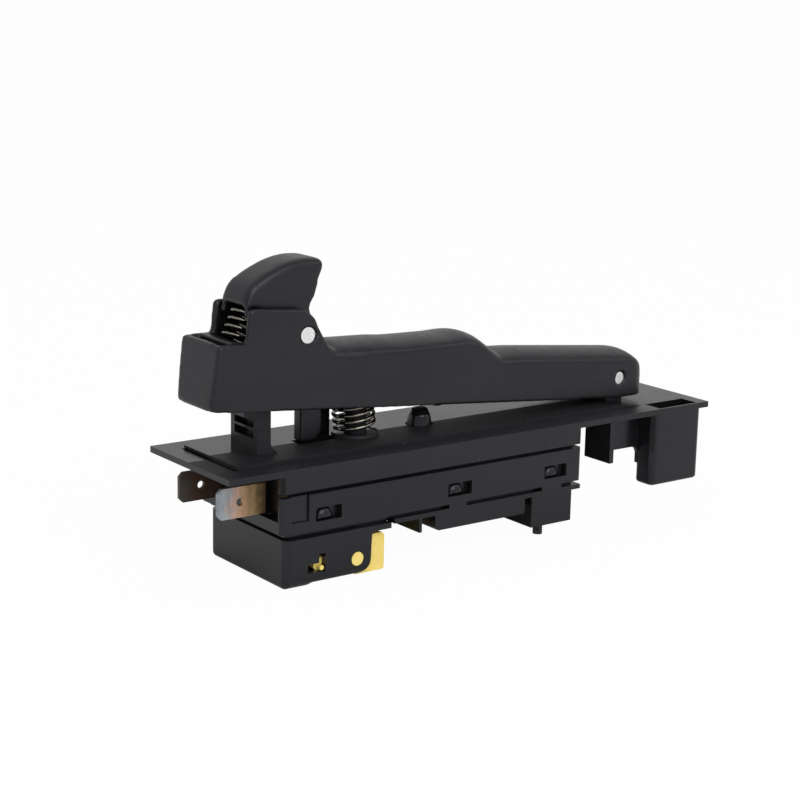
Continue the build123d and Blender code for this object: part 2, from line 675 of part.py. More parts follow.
def bottom_cover():
    """Cover under the chamber, with its ribs, boxes and locating pins."""
    top = -CHAMBER_DEPTH
    plate_part = block(COVER_START, HOUSING_LENGTH, -COVER_HALF, COVER_HALF, top - COVER_THICKNESS, top)
    low = top - LOWER_BOX_DEPTH
    side = [
        (LOWER_BOX_START, top, 0),
        (LOWER_BOX_START, low, LOWER_BOX_CORNER),
        (LOWER_BOX_END, low, LOWER_BOX_END_CORNER),
        (LOWER_BOX_END, top, 0),
    ]
    lower_box = side_prism(side, -COVER_HALF, COVER_HALF)
    lower_box = lower_box - block(
        LOWER_BOX_START + LOWER_BOX_WALL, LOWER_BOX_END - LOWER_BOX_WALL,
        -COVER_HALF + LOWER_BOX_WALL, COVER_HALF - LOWER_BOX_WALL, -FAR, top - LOWER_BOX_WALL,
    )
    rib = block(
        RIB_START, RIB_START + RIB_THICKNESS,
        -COVER_HALF, -COVER_HALF + RIB_LENGTH, top - RIB_DEPTH, top,
    )
    end_block = block(
        END_BLOCK_START, END_BLOCK_END, -END_BLOCK_HALF, END_BLOCK_HALF, top - END_BLOCK_DEPTH, top,
    )
    end_block = end_block - block(
        END_BLOCK_START + 2 * LOWER_BOX_WALL, END_BLOCK_END - LOWER_BOX_WALL,
        -END_BLOCK_HALF + LOWER_BOX_WALL, END_BLOCK_HALF - LOWER_BOX_WALL, -FAR, top - LOWER_BOX_WALL,
    )
    pin = rod_z(
        END_BLOCK_START + LOCATING_PIN_INSET, -END_BLOCK_HALF + LOCATING_PIN_RADIUS,
        LOCATING_PIN_RADIUS, top - LOCATING_PIN_DEPTH, top - COVER_THICKNESS,
    )
    return plate_part + lower_box + both_sides(rib) + end_block + both_sides(pin)


def cap_side():
    """Side outline of the lower cap, with its heel, its throat and its tongue."""
    nose_top = CAP_TOP - CAP_TONGUE_THICKNESS
    sole = CAP_BOTTOM + CAP_FLOOR_RISE
    return [
        (CAP_START, CAP_TOP, 0),
        (CAP_START, CAP_BOTTOM, CAP_HEEL_RADIUS),
        (CAP_START + CAP_HEEL_LENGTH, CAP_BOTTOM, 0),
        (CAP_START + CAP_HEEL_LENGTH + CAP_HEEL_STEP, sole, 0),
        (CAP_END - CAP_BACK_LEAN, sole, CAP_THROAT_RADIUS),
        (CAP_END, nose_top, CAP_BACK_RADIUS),
        (CAP_END + CAP_TONGUE_REACH, nose_top, 0),
        (CAP_END + CAP_TONGUE_REACH, CAP_TOP, 0),
    ]


def lower_cap():
    """Cap open at its inner end, with a slot and a bearing hole in each side wall."""
    shell = side_prism(cap_side(), -CAP_HALF, CAP_HALF)
    upright = shell.edges().filter_by(Axis.Z).filter_by_position(Axis.X, CAP_START - 0.01, CAP_START + 0.01)
    shell = fillet(upright, CAP_CORNER)
    inner = CAP_HALF - CAP_WALL
    floor_top = CAP_BOTTOM + CAP_FLOOR_RISE + CAP_WALL
    shell = shell - block(CAP_START + CAP_WALL, FAR, -inner, inner, floor_top, FAR)
    shell = shell - block(CAP_END - RELEASE_SWING_ROOM, FAR, -inner, inner, -FAR, FAR)
    upright_leg = block(
        RELEASE_PIN_X - SLOT_WIDTH / 2, RELEASE_PIN_X + SLOT_WIDTH / 2, -FAR, FAR,
        RELEASE_PIVOT_Z - SLOT_DROP, RELEASE_PIVOT_Z + SLOT_RISE,
    )
    level_leg = block(
        RELEASE_PIN_X - SLOT_SIDE_REACH, RELEASE_PIN_X, -FAR, FAR,
        RELEASE_PIVOT_Z - SLOT_SIDE_DROP, RELEASE_PIVOT_Z + SLOT_SIDE_RISE,
    )
    hole = rod_y(RELEASE_PIVOT_X, RELEASE_PIVOT_Z, RELEASE_BOSS_RADIUS + RELEASE_RUNNING_FIT, -FAR, FAR)
    return shell - upright_leg - level_leg - hole


def release_lever():
    """Bail that turns in the cap: pad outside, arms inside, pins in the slots."""
    half = CAP_HALF - CAP_WALL - RELEASE_SIDE_GAP
    pad_top = CAP_TOP - CAP_TONGUE_THICKNESS - RELEASE_PAD_DROP
    pad_low = pad_top - RELEASE_PAD_HEIGHT
    pad_start = CAP_END - RELEASE_PAD_INSET
    pad_end = CAP_END + RELEASE_PAD_REACH
    pad = [
        (pad_start, pad_top, 0),
        (pad_start, pad_low, RELEASE_PAD_CORNER),
        (pad_end, pad_low, RELEASE_PAD_CORNER),
        (pad_end, pad_top - RELEASE_PAD_BEVEL, 0),
        (pad_end - RELEASE_PAD_BEVEL, pad_top, 0),
    ]
    lever = side_prism(pad, -half, half)
    arm_tip = RELEASE_PIN_X - RELEASE_ARM_TIP
    arm = [
        (arm_tip, RELEASE_PIVOT_Z - RELEASE_ARM_TIP, RELEASE_ARM_TIP_RADIUS),
        (pad_start, RELEASE_PIVOT_Z - RELEASE_ARM_DROP, 0),
        (pad_start, RELEASE_PIVOT_Z + RELEASE_ARM_RISE, 0),
        (arm_tip, RELEASE_PIVOT_Z + RELEASE_ARM_TIP, RELEASE_ARM_TIP_RADIUS),
    ]
    arms = side_prism(arm, -half, -half + RELEASE_ARM_THICKNESS)
    root = -half + RELEASE_ROOTING
    boss = rod_y(
        RELEASE_PIVOT_X, RELEASE_PIVOT_Z, RELEASE_BOSS_RADIUS, -CAP_HALF + RELEASE_BOSS_INSET, root,
    )
    pin = rod_y(
        RELEASE_PIN_X, RELEASE_PIVOT_Z - RELEASE_PIN_DROP, RELEASE_PIN_RADIUS,
        -CAP_HALF + RELEASE_PIN_INSET, root,
    )
    return lever + both_sides(arms + boss + pin)


# ---------------------------------------------------------------- trigger and lock


def trigger_side():
    """Side outline of the trigger: ears, hand rest, step and pivot end, all square to its tilt."""
    free = TRIGGER_FREE_END
    end = TRIGGER_PIVOT_END
    lean = tan(radians(TRIGGER_TILT))
    low = TRIGGER_EDGE_FREE
    end_low = TRIGGER_EDGE_PIVOT
    ear = free + EAR_SETBACK
    return [
        (free, low, TRIGGER_EDGE_RADIUS),
        (free + FREE_END_HEIGHT * tan(radians(FREE_END_LEAN)), low + FREE_END_HEIGHT, TRIGGER_EDGE_RADIUS),
        (ear, low + EAR_FOOT_HEIGHT, 0),
        (ear + (EAR_HEIGHT - EAR_FOOT_HEIGHT) * lean, low + EAR_HEIGHT, EAR_CORNER),
        (free + EAR_BACK, low + EAR_BACK_HEIGHT, EAR_BACK_RADIUS),
        (free + REST_START, low + REST_START_HEIGHT, REST_START_RADIUS),
        (free + REST_DIP, low + REST_DIP_HEIGHT, REST_DIP_RADIUS),
        (free + STEP_CREST, low + STEP_CREST_HEIGHT, STEP_CREST_RADIUS),
        (free + STEP_FOOT, low + STEP_FOOT_HEIGHT, STEP_FOOT_RADIUS),
        (end - END_SLOPE, end_low + END_SLOPE_HEIGHT, END_SLOPE_RADIUS),
        (end, end_low + END_FACE_HEIGHT, END_FACE_RADIUS),
        (end - END_FACE_HEIGHT * lean, end_low, TRIGGER_EDGE_RADIUS),
        (end - TRIGGER_EDGE_BEND, end_low, 0),
    ]


def trigger_half_width(x, inset=0.0):
    """Half the trigger's width at a place along it."""
    share = (x - TRIGGER_FREE_END) / (TRIGGER_PIVOT_END - TRIGGER_FREE_END)
    return (TRIGGER_WIDTH_FREE_END * (1 - share) + TRIGGER_WIDTH_PIVOT_END * share) / 2 - inset


def trigger_plan(inset, free_radius, end_radius):
    """Plan outline of the trigger, tapering to the pivot end."""
    x0 = TRIGGER_FREE_END + inset
    x1 = TRIGGER_PIVOT_END - inset
    w0 = trigger_half_width(x0, inset)
    w1 = trigger_half_width(x1, inset)
    return [(x0, -w0, free_radius), (x1, -w1, end_radius), (x1, w1, end_radius), (x0, w0, free_radius)]


def hand_rest_crown():
    """Shallow dome over the hand rest, the step and the pivot end, swept along their top line."""
    side = Plane.XZ * outline(trigger_side())
    end_face_middle = TRIGGER_EDGE_PIVOT + END_FACE_HEIGHT / 2
    run = [
        e for e in side.edges()
        if min(v.X for v in e.vertices()) > MOUTH_END and e.center().Z > end_face_middle
    ]
    first = min(run, key=lambda e: e.center().X)
    begin = min(first.vertices(), key=lambda v: v.X)
    onward = max(first.vertices(), key=lambda v: v.X)
    slope = (onward.Z - begin.Z) / (onward.X - begin.X)
    entry = Vector(MOUTH_END, 0, begin.Z + slope * (MOUTH_END - begin.X))
    path = Wire([Edge.make_line(entry, Vector(begin.X, 0, begin.Z)), *run])
    half = TRIGGER_WIDTH_FREE_END / 2
    rim = Polyline((half, 0), (half, -CROWN_ROOTING), (-half, -CROWN_ROOTING), (-half, 0))
    dome = ThreePointArc((-half, 0), (0, CROWN_RISE), (half, 0))
    frame = Plane(origin=entry, x_dir=(0, 1, 0), z_dir=(-1, 0, -slope))
    crown = sweep(frame * make_face(Wire([*rim.edges(), dome])), path=path)
    return crown & plan_prism(trigger_plan(0, TRIGGER_FREE_CORNER, TRIGGER_END_RADIUS), -FAR, FAR)


def trigger_cavity():
    """The hollow under the trigger's roof and over its open underside."""
    free = TRIGGER_FREE_END
    end = TRIGGER_PIVOT_END
    under = TRIGGER_EDGE_FREE - TRIGGER_ROOF
    end_under = TRIGGER_EDGE_PIVOT - TRIGGER_ROOF
    side = [
        (free + TRIGGER_WALL, -FAR, 0),
        (free + TRIGGER_WALL, TRIGGER_EDGE_FREE, 0),
        (free + TRIGGER_WALL + CAVITY_CORNER, SHELF_UNDERSIDE, 0),
        (SHELF_END, SHELF_UNDERSIDE, 0),
        (SHELF_END, FAR, 0),
        (MOUTH_END, FAR, 0),
        (MOUTH_END, under + REST_START_HEIGHT, 0),
        (free + REST_DIP, under + REST_DIP_HEIGHT, 0),
        (free + STEP_CREST - CAVITY_STEP_SHIFT, under + STEP_CREST_HEIGHT, 0),
        (free + STEP_FOOT - CAVITY_STEP_SHIFT, under + STEP_FOOT_HEIGHT, 0),
        (end - END_SLOPE, end_under + END_SLOPE_HEIGHT, 0),
        (end - CAVITY_END_GAP, end_under + END_FACE_HEIGHT, 0),
        (end - CAVITY_END_GAP, -FAR, 0),
    ]
    run = side_prism(side, -PLATE_WIDTH, PLATE_WIDTH)
    return run & plan_prism(trigger_plan(TRIGGER_WALL, 0, TRIGGER_END_RADIUS - TRIGGER_WALL), -FAR, FAR)


def spring_line():
    """Length and lean of the lock spring's axis."""
    run = LOCK_SPRING_HEAD[0] - LOCK_SPRING_FOOT[0]
    rise = LOCK_SPRING_HEAD[1] - LOCK_SPRING_FOOT[1]
    return hypot(run, rise), degrees(atan2(run, rise))


def across_spring(end, offset):
    """Point beside an end of the lock spring's axis, square to it."""
    lean = radians(spring_line()[1])
    return end[0] + offset * cos(lean), end[1] - offset * sin(lean)


def trigger_lever():
    """Hollow trigger with ears for the lock, and the seats of what lies inside it."""
    body = side_prism(trigger_side(), -PLATE_WIDTH, PLATE_WIDTH)
    body = body & plan_prism(trigger_plan(0, TRIGGER_FREE_CORNER, TRIGGER_END_RADIUS), -FAR, FAR)
    body = body + hand_rest_crown()
    half = trigger_half_width(MOUTH_END, TRIGGER_WALL)
    body = body - trigger_cavity()
    mouth_left = across_spring(LOCK_SPRING_FOOT, -LOCK_SPRING_RADIUS)
    mouth_right = across_spring(LOCK_SPRING_FOOT, LOCK_SPRING_RADIUS + SPRING_SEAT_MARGIN)
    mouth = [
        (MOUTH_START, FAR, 0),
        (MOUTH_START, mouth_left[1], 0),
        (*mouth_left, 0),
        (*mouth_right, 0),
        (SHELF_END, mouth_right[1], 0),
        (SHELF_END, FAR, 0),
    ]
    body = body - side_prism(mouth, -half, half)
    body = body - block(MOUTH_START, WELL_END, -half, half, SHELF_UNDERSIDE - CAVITY_CORNER, FAR)
    roof_middle = TRIGGER_EDGE_FREE + REST_DIP_HEIGHT - TRIGGER_ROOF / 2
    seat_x = CUP_X - (RETURN_SPRING_TOP - PLATFORM_TOP) * tan(radians(RETURN_SPRING_LEAN))
    seat = rod_z(seat_x, 0, CUP_RADIUS - CUP_WALL, RETURN_SPRING_TOP, roof_middle)
    seat = seat + rod_z(seat_x, 0, CORE_RADIUS, RETURN_SPRING_TOP - CORE_RADIUS / 2, RETURN_SPRING_TOP)
    rib_half = trigger_half_width(PLUNGER_X, TRIGGER_WALL / 2)
    rib = block(
        PLUNGER_X - PRESS_RIB_THICKNESS / 2, PLUNGER_X + PRESS_RIB_THICKNESS / 2,
        -rib_half, rib_half, PLUNGER_TOP + PRESS_RIB_GAP, roof_middle,
    )
    body = body + seat + rib
    body = body - rod_y(TRIGGER_PIVOT_X, TRIGGER_PIVOT_RISE, TRIGGER_PIN_RADIUS, -FAR, FAR)
    return body - rod_y(LOCK_PIVOT_X, LOCK_PIVOT_RISE, LOCK_PIN_RADIUS, -FAR, FAR)


def trigger_pin():
    """Pin pressed into the trigger's walls, turning in the lug."""
    half = trigger_half_width(TRIGGER_PIVOT_X, TRIGGER_PIN_RECESS)
    return rod_y(TRIGGER_PIVOT_X, TRIGGER_PIVOT_RISE, TRIGGER_PIN_RADIUS, -half, half)


def lock_pin():
    """Pin pressed into the trigger's ears, on which the lock lever turns."""
    half = trigger_half_width(LOCK_PIVOT_X)
    return rod_y(LOCK_PIVOT_X, LOCK_PIVOT_RISE, LOCK_PIN_RADIUS, -half, half)


def fin():
    """Finger piece: domed crown, nose and hollow-curved back, down to the hub."""
    hub = Vector(LOCK_PIVOT_X, LOCK_PIVOT_RISE)
    heel = across_spring(LOCK_SPRING_HEAD, -LOCK_SPRING_RADIUS - SPRING_SEAT_MARGIN)
    toe = across_spring(LOCK_SPRING_HEAD, LOCK_SPRING_RADIUS + SPRING_SEAT_MARGIN)
    crown = Spline(heel, *[hub + point for point in FIN_CROWN])
    nose = ThreePointArc(crown @ 1, *[hub + point for point in FIN_NOSE])
    back = ThreePointArc(nose @ 1, *[hub + point for point in FIN_BACK])
    close = Polyline(back @ 1, hub + (LOCK_HUB_RADIUS, 0), hub - (LOCK_HUB_RADIUS, 0), toe, heel)
    face = make_face(Wire([crown, nose, back, *close.edges()]))
    solid = Pos(0, LOCK_WIDTH / 2, 0) * extrude(Plane.XZ * face, amount=LOCK_WIDTH)
    floor = LOCK_PIVOT_RISE + LOCK_CROWN_FLOOR
    crest = [e for e in solid.edges() if e.center().Z > floor and abs(e.center().Y) > LOCK_WIDTH / 4]
    return fillet(crest, LOCK_CROWN)


def lock_lever():
    """Lock lever: finger piece over the hub, and a leg that reaches down to the platform."""
    x = LOCK_PIVOT_X
    z = LOCK_PIVOT_RISE
    body = fin() + rod_y(x, z, LOCK_HUB_RADIUS, -LOCK_WIDTH / 2, LOCK_WIDTH / 2)
    foot = PLATFORM_TOP + LEG_FOOT_GAP
    leg_end = LEG_START + LEG_LENGTH
    leg = [
        (x - LEG_SHANK_BACK, z - LEG_SHANK_ROOTING, 0),
        (LEG_START, z - LEG_SHOULDER_DROP, LEG_SHOULDER_RADIUS),
        (LEG_START, foot, LEG_HEEL_RADIUS),
        (leg_end, foot, LEG_TOE_RADIUS),
        (leg_end, foot + LEG_CALF_HEIGHT, LEG_SHOULDER_RADIUS),
        (x + LEG_SHANK, z - LEG_BACK_DROP, LEG_SHOULDER_RADIUS),
        (x + LEG_SHANK, z - LEG_SHANK_ROOTING, 0),
    ]
    body = body + side_prism(leg, -LEG_WIDTH / 2, LEG_WIDTH / 2)
    heel_x, heel_z = across_spring(LOCK_SPRING_HEAD, -LOCK_SPRING_RADIUS - SPRING_SEAT_MARGIN)
    stop = block(
        heel_x + LOCK_STOP_INSET, heel_x + LOCK_STOP_INSET + LOCK_STOP_THICKNESS,
        LOCK_WIDTH / 2 - LOCK_STOP_WIDTH, LOCK_WIDTH / 2,
        heel_z - LOCK_STOP_LENGTH, heel_z + LOCK_STOP_ROOTING,
    )
    body = body + both_sides(stop)
    return body - rod_y(x, z, LOCK_PIN_RADIUS + LOCK_RUNNING_FIT, -FAR, FAR)


# ---------------------------------------------------------------- springs


def return_spring():
    """Spring between the cup and the trigger's seat, leaning back as the seat does."""
    lean = radians(RETURN_SPRING_LEAN)
    dip = RETURN_SPRING_RADIUS * sin(lean)
    foot = PLATFORM_TOP + CUP_FLOOR + dip
    length = (RETURN_SPRING_TOP - dip - foot) / cos(lean)
    spring = coil(RETURN_SPRING_RADIUS, RETURN_SPRING_WIRE, length, RETURN_SPRING_TURNS)
    return Pos(CUP_X, 0, foot) * Rot(0, -RETURN_SPRING_LEAN, 0) * spring


def lock_spring():
    """Leaning spring between the trigger's shelf and the finger piece."""
    length, lean = spring_line()
    spring = coil(LOCK_SPRING_RADIUS, LOCK_SPRING_WIRE, length, LOCK_SPRING_TURNS)
    return Pos(LOCK_SPRING_FOOT[0], 0, LOCK_SPRING_FOOT[1]) * Rot(0, lean, 0) * spring


def plunger_spring():
    """Spring between the chamber floor and the plunger's yoke."""
    length = YOKE_BOTTOM - FLOOR_TOP
    spring = coil(PLUNGER_SPRING_RADIUS, PLUNGER_SPRING_WIRE, length, PLUNGER_SPRING_TURNS)
    return Pos(PLUNGER_X, 0, FLOOR_TOP) * spring


# ---------------------------------------------------------------- plunger and contacts


def plunger():
    """Bell-shaped button with a yoke that carries the two contact bridges."""
    profile = [
        (0, YOKE_BOTTOM, 0),
        (PLUNGER_RADIUS, YOKE_BOTTOM, 0),
        (PLUNGER_RADIUS, PLATFORM_TOP, 0),
        (PLUNGER_SHOULDER_RADIUS, PLATFORM_TOP + PLUNGER_SHOULDER_RISE, PLUNGER_SHOULDER_CORNER),
        (PLUNGER_TOP_RADIUS, PLUNGER_TOP, PLUNGER_TOP_CORNER),
        (0, PLUNGER_TOP, 0),
    ]
    button = Pos(PLUNGER_X, 0, 0) * revolve(Plane.XZ * outline(profile), Axis.Z)
    yoke = block(
        PLUNGER_X - YOKE_LENGTH / 2, PLUNGER_X + YOKE_LENGTH / 2,
        -YOKE_SPAN / 2, YOKE_SPAN / 2, YOKE_BOTTOM, YOKE_TOP,
    )
    guide = rod_z(PLUNGER_X, 0, PLUNGER_GUIDE_RADIUS, YOKE_BOTTOM - PLUNGER_GUIDE_LENGTH, YOKE_BOTTOM)
    return button + yoke + guide


def contact_bridge(side):
    """Bar that joins the two fixed contacts of one pole."""
    y0 = side * TAB_Y - POLE_HALF_WIDTH
    return block(BRIDGE_START, BRIDGE_END, y0, y0 + BRIDGE_WIDTH, BRIDGE_BOTTOM, YOKE_BOTTOM)


def tab_face():
    """Side face of a blade tab with its chamfered tip."""
    tip = -TAB_REACH
    return [
        (INNER_START, TAB_BOTTOM, 0),
        (tip + TAB_CHAMFER, TAB_BOTTOM, 0),
        (tip, TAB_BOTTOM + TAB_CHAMFER, 0),
        (tip, TAB_TOP - TAB_CHAMFER, 0),
        (tip + TAB_CHAMFER, TAB_TOP, 0),
        (INNER_START, TAB_TOP, 0),
    ]


def fixed_pad(side, x0, x1):
    """Flat pad under a contact tip."""
    y = side * TAB_Y
    return block(x0, x1, y - POLE_HALF_WIDTH, y + POLE_HALF_WIDTH, PAD_BOTTOM, PAD_TOP)


def terminal(side):
    """Blade tab outside the housing, running inside to its contact pad."""
    y0 = side * TAB_Y - TAB_THICKNESS / 2
    y1 = y0 + TAB_THICKNESS
    tab = side_prism(tab_face(), y0, y1)
    tab = tab - rod_y(-TAB_REACH + TAB_HOLE_INSET, (TAB_TOP + TAB_BOTTOM) / 2, TAB_HOLE_RADIUS, -FAR, FAR)
    pad_start = BRIDGE_START - PAD_OVERHANG
    blade = block(INNER_START, pad_start, y0, y1, PAD_BOTTOM, PAD_BOTTOM + BLADE_HEIGHT)
    return tab + blade + fixed_pad(side, pad_start, TIP_PLACES[0] + TIP_RADIUS + PAD_OVERHANG)


def output_blade(side):
    """Fixed contact pad and blade on the load side of one pole."""
    y0 = side * TAB_Y - TAB_THICKNESS / 2
    pad_end = BRIDGE_END + PAD_OVERHANG
    blade = block(pad_end, OUTPUT_BLADE_END, y0, y0 + TAB_THICKNESS, PAD_BOTTOM, PAD_BOTTOM + BLADE_HEIGHT)
    return blade + fixed_pad(side, TIP_PLACES[1] - TIP_RADIUS - PAD_OVERHANG, pad_end)


def contact_tips():
    """Contact tips of both poles, on the bridges and on the fixed pads."""
    tips = {}
    for name, side in SIDES.items():
        for end, x in zip(("feed", "load"), TIP_PLACES):
            y = side * TAB_Y
            tips[f"moving_tip_{name}_{end}"] = rod_z(x, y, TIP_RADIUS, MOVING_TIP_BOTTOM, BRIDGE_BOTTOM)
            tips[f"fixed_tip_{name}_{end}"] = rod_z(x, y, TIP_RADIUS, PAD_TOP, FIXED_TIP_TOP)
    return tips


def nodes():
    """Every sub-part of the switch under its node name."""
    parts = {}
    parts.update(base_halves())
    parts["housing_sleeve"] = housing_sleeve()
    parts["bottom_cover"] = bottom_cover()
    parts["lower_cap"] = lower_cap()
    parts["release_lever"] = release_lever()
    parts["trigger_lever"] = trigger_lever()
    parts["trigger_pin"] = trigger_pin()
    parts["lock_pin"] = lock_pin()
    parts["lock_lever"] = lock_lever()
    parts["lock_spring"] = lock_spring()
    parts["return_spring"] = return_spring()
    parts["plunger"] = plunger()
    parts["plunger_spring"] = plunger_spring()
    for name, side in SIDES.items():
        parts["terminal_" + name] = terminal(side)
        parts["output_blade_" + name] = output_blade(side)
        parts["contact_bridge_" + name] = contact_bridge(side)
    parts.update(contact_tips())
    return parts


for node, solid in nodes().items():
    export_step(solid, f"parts/{node}.step")
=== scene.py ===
# %% [markdown]
# # A trigger switch, dressed for its portrait
# A trigger switch sits in the handle of a power tool. A long lever is squeezed against a
# housing, a small lock stands over one end of it, and two blades at the other side take the
# supply. The solids come from the CAD model, already in place and already jointed. What is left
# for Blender is what a camera sees: softened moulded edges, a crowned hand rest, satin plastic,
# bright wire and tarnished metal.
#
# The first step loads the solids as a fixed frame. Everything later takes its place from them,
# in metres, so nothing has to be fitted by eye.

# %% Load the frame
import json
from math import pi, radians

import bmesh
import bpy
from mathutils import Matrix, Vector


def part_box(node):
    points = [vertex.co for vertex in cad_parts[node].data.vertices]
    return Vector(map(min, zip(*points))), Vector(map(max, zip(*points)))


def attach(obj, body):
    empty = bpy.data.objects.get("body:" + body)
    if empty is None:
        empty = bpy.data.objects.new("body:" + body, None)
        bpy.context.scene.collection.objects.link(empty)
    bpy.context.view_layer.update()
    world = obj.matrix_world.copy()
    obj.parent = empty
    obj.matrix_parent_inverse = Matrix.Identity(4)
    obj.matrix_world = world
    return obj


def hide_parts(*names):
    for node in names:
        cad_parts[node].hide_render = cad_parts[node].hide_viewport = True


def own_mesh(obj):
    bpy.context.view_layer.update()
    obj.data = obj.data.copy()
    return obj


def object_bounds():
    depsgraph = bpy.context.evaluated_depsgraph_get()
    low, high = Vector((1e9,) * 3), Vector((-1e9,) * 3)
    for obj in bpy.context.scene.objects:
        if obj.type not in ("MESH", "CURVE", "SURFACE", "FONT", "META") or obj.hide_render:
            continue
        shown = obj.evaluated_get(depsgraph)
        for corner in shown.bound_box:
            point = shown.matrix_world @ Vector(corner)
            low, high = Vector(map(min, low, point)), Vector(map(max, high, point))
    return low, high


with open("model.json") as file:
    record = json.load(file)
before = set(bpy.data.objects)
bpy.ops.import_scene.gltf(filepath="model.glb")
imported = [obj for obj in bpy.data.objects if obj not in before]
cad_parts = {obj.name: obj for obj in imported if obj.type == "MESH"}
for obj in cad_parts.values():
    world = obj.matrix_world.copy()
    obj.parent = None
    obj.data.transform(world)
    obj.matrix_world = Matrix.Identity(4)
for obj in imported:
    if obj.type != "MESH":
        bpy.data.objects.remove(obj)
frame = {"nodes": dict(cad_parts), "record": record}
cad_box = [[float(v) for v in corner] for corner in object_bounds()]
MM = 0.001
print("box in mm", [[round(v / MM, 1) for v in corner] for corner in cad_box])

# %% [markdown]
# ## Two small helpers
# Blender keeps a shape and the object that carries it apart. A form is built as a bmesh, then
# handed over to a mesh, and the mesh to an object that is linked to the scene. Both steps come
# up again and again, so each gets a short function.

# %% Helpers for meshes and objects
def mesh_of(form, name):
    """A mesh that takes over the faces of a form; the form is freed."""
    mesh = bpy.data.meshes.new(name)
    form.to_mesh(mesh)
    form.free()
    return mesh


def in_scene(name, data):
    """A new object that carries the data, linked to the scene."""
    thing = bpy.data.objects.new(name, data)
    bpy.context.scene.collection.objects.link(thing)
    return thing


# %% [markdown]
# ## The camera
# The switch is seen from its front left, a little from above, with a long lens that keeps the
# plate's long edges almost parallel. A camera is easiest to aim with a target point, a distance
# and three angles: it turns about the upright axis, tips down, and rolls a hair about its own
# line of sight.

# %% Camera
AIM = Vector((39.52, 0.0, 7.74)) * MM
AIM_DISTANCE = 394.19 * MM
TURN, TIP, ROLL = radians(-36.57), radians(13.03), radians(1.23)
SENSOR = 36.0
LENS = 83.95
NEAREST = 0.01

aim_turn = Matrix.Rotation(TURN, 4, "Z") @ Matrix.Rotation(pi / 2 - TIP, 4, "X")
aim_turn = aim_turn @ Matrix.Rotation(ROLL, 4, "Z")
sight_line = aim_turn.to_3x3() @ Vector((0, 0, -1))
camera_data = bpy.data.cameras.new("portrait_camera")
camera_data.lens = LENS
camera_data.sensor_width = SENSOR
camera_data.clip_start = NEAREST
camera = in_scene("portrait_camera", camera_data)
camera.matrix_world = Matrix.Translation(AIM - sight_line * AIM_DISTANCE) @ aim_turn
bpy.context.scene.camera = camera
bpy.context.scene.view_settings.view_transform = "Standard"
print("camera stands at", [round(v / MM, 1) for v in camera.matrix_world.translation], "mm")

# %% [markdown]
# ## Materials are small graphs
# A node material is a graph: textures feed colours and roughness, and a shader at the end turns
# them into light. Three helpers keep such graphs short to write. One makes an empty material,
# one adds a node with its inputs already joined or set, and one joins the last shader to the
# material's output.

# %% Helpers for node materials
def new_material(name):
    """An empty node material with an output."""
    material = bpy.data.materials.new(name)
    material.use_nodes = True
    material.node_tree.nodes.clear()
    material.node_tree.nodes.new("ShaderNodeOutputMaterial")
    return material


def node(tree, kind, inputs=None, **settings):
    """Adds a node; inputs maps a socket to a constant value or to another node's socket."""
    made = tree.nodes.new("ShaderNode" + kind)
    for key, value in settings.items():
        setattr(made, key, value)
    for key, value in (inputs or {}).items():
        if isinstance(value, bpy.types.NodeSocket):
            tree.links.new(value, made.inputs[key])
        else:
            made.inputs[key].default_value = value
    return made


def show(tree, socket):
    """Sends a shader to the material's output."""
    output = next(n for n in tree.nodes if n.type == "OUTPUT_MATERIAL")
    tree.links.new(socket, output.inputs["Surface"])


# %% [markdown]
# ## A white tent of light
# Black satin plastic has almost no colour of its own. What draws its edges is what it mirrors,
# and in a product picture that is a white tent on all sides. The world gives that even light,
# and shows the camera itself a plain white.
#
# Three broad lamps give the faces slightly different values, so that corners still read: a weak
# one high on the left, a weaker one on the right, and a large soft box in front, whose light
# lifts the faces turned towards the camera and the top of the plate.

# %% World and lamps
TENT_LIGHT = 0.62
PLAIN_WHITE = (1, 1, 1, 1)

world = bpy.data.worlds.new("white_tent")
world.use_nodes = True
sky_tree = world.node_tree
sky_tree.nodes.clear()
ray = node(sky_tree, "LightPath")
seen = node(sky_tree, "Math", {0: ray.outputs["Is Camera Ray"], 1: ray.outputs["Is Transmission Ray"]},
            operation="MAXIMUM")
tent = node(sky_tree, "Background", {"Color": PLAIN_WHITE, "Strength": TENT_LIGHT})
white = node(sky_tree, "Background", {"Color": PLAIN_WHITE, "Strength": 1.0})
choice = node(sky_tree, "MixShader", {0: seen.outputs[0], 1: tent.outputs[0], 2: white.outputs[0]})
sky_out = sky_tree.nodes.new("ShaderNodeOutputWorld")
sky_tree.links.new(choice.outputs[0], sky_out.inputs["Surface"])
bpy.context.scene.world = world


def soft_lamp(name, place, width, power):
    """A square area lamp, turned towards the point the camera aims at."""
    light = bpy.data.lights.new(name, "AREA")
    light.size = width
    light.energy = power
    lamp = in_scene(name, light)
    lamp.location = place
    lamp.rotation_euler = (AIM - Vector(place)).to_track_quat("-Z", "Y").to_euler()


# Each lamp: its name, its place and width in metres, its power in watts.
LAMPS = [
    ("high_left_lamp", (-0.35, -0.25, 0.55), 0.30, 0.35),
    ("right_lamp", (0.45, -0.40, 0.30), 0.25, 0.2),
    ("front_softbox", (-0.05, -0.55, 0.35), 0.45, 1.5),
]
for name, place, width, power in LAMPS:
    soft_lamp(name, place, width, power)
print("lamps", len(LAMPS), "tent light", TENT_LIGHT)

# %% [markdown]
# ## A pale floor
# The floor is a pale sheet under the lowest point. To the camera its material shows an almost
# plain white, mixed with a little of its real, shaded surface, so the background is clean and a
# faint shadow stays. Rays that bounce off the switch see the real surface only, which is what
# the upright faces mirror.

# %% Floor
FLOOR_HALF = 12.0
FLOOR_WHITE = 0.97
FLOOR_PALE = (0.92, 0.92, 0.92, 1)

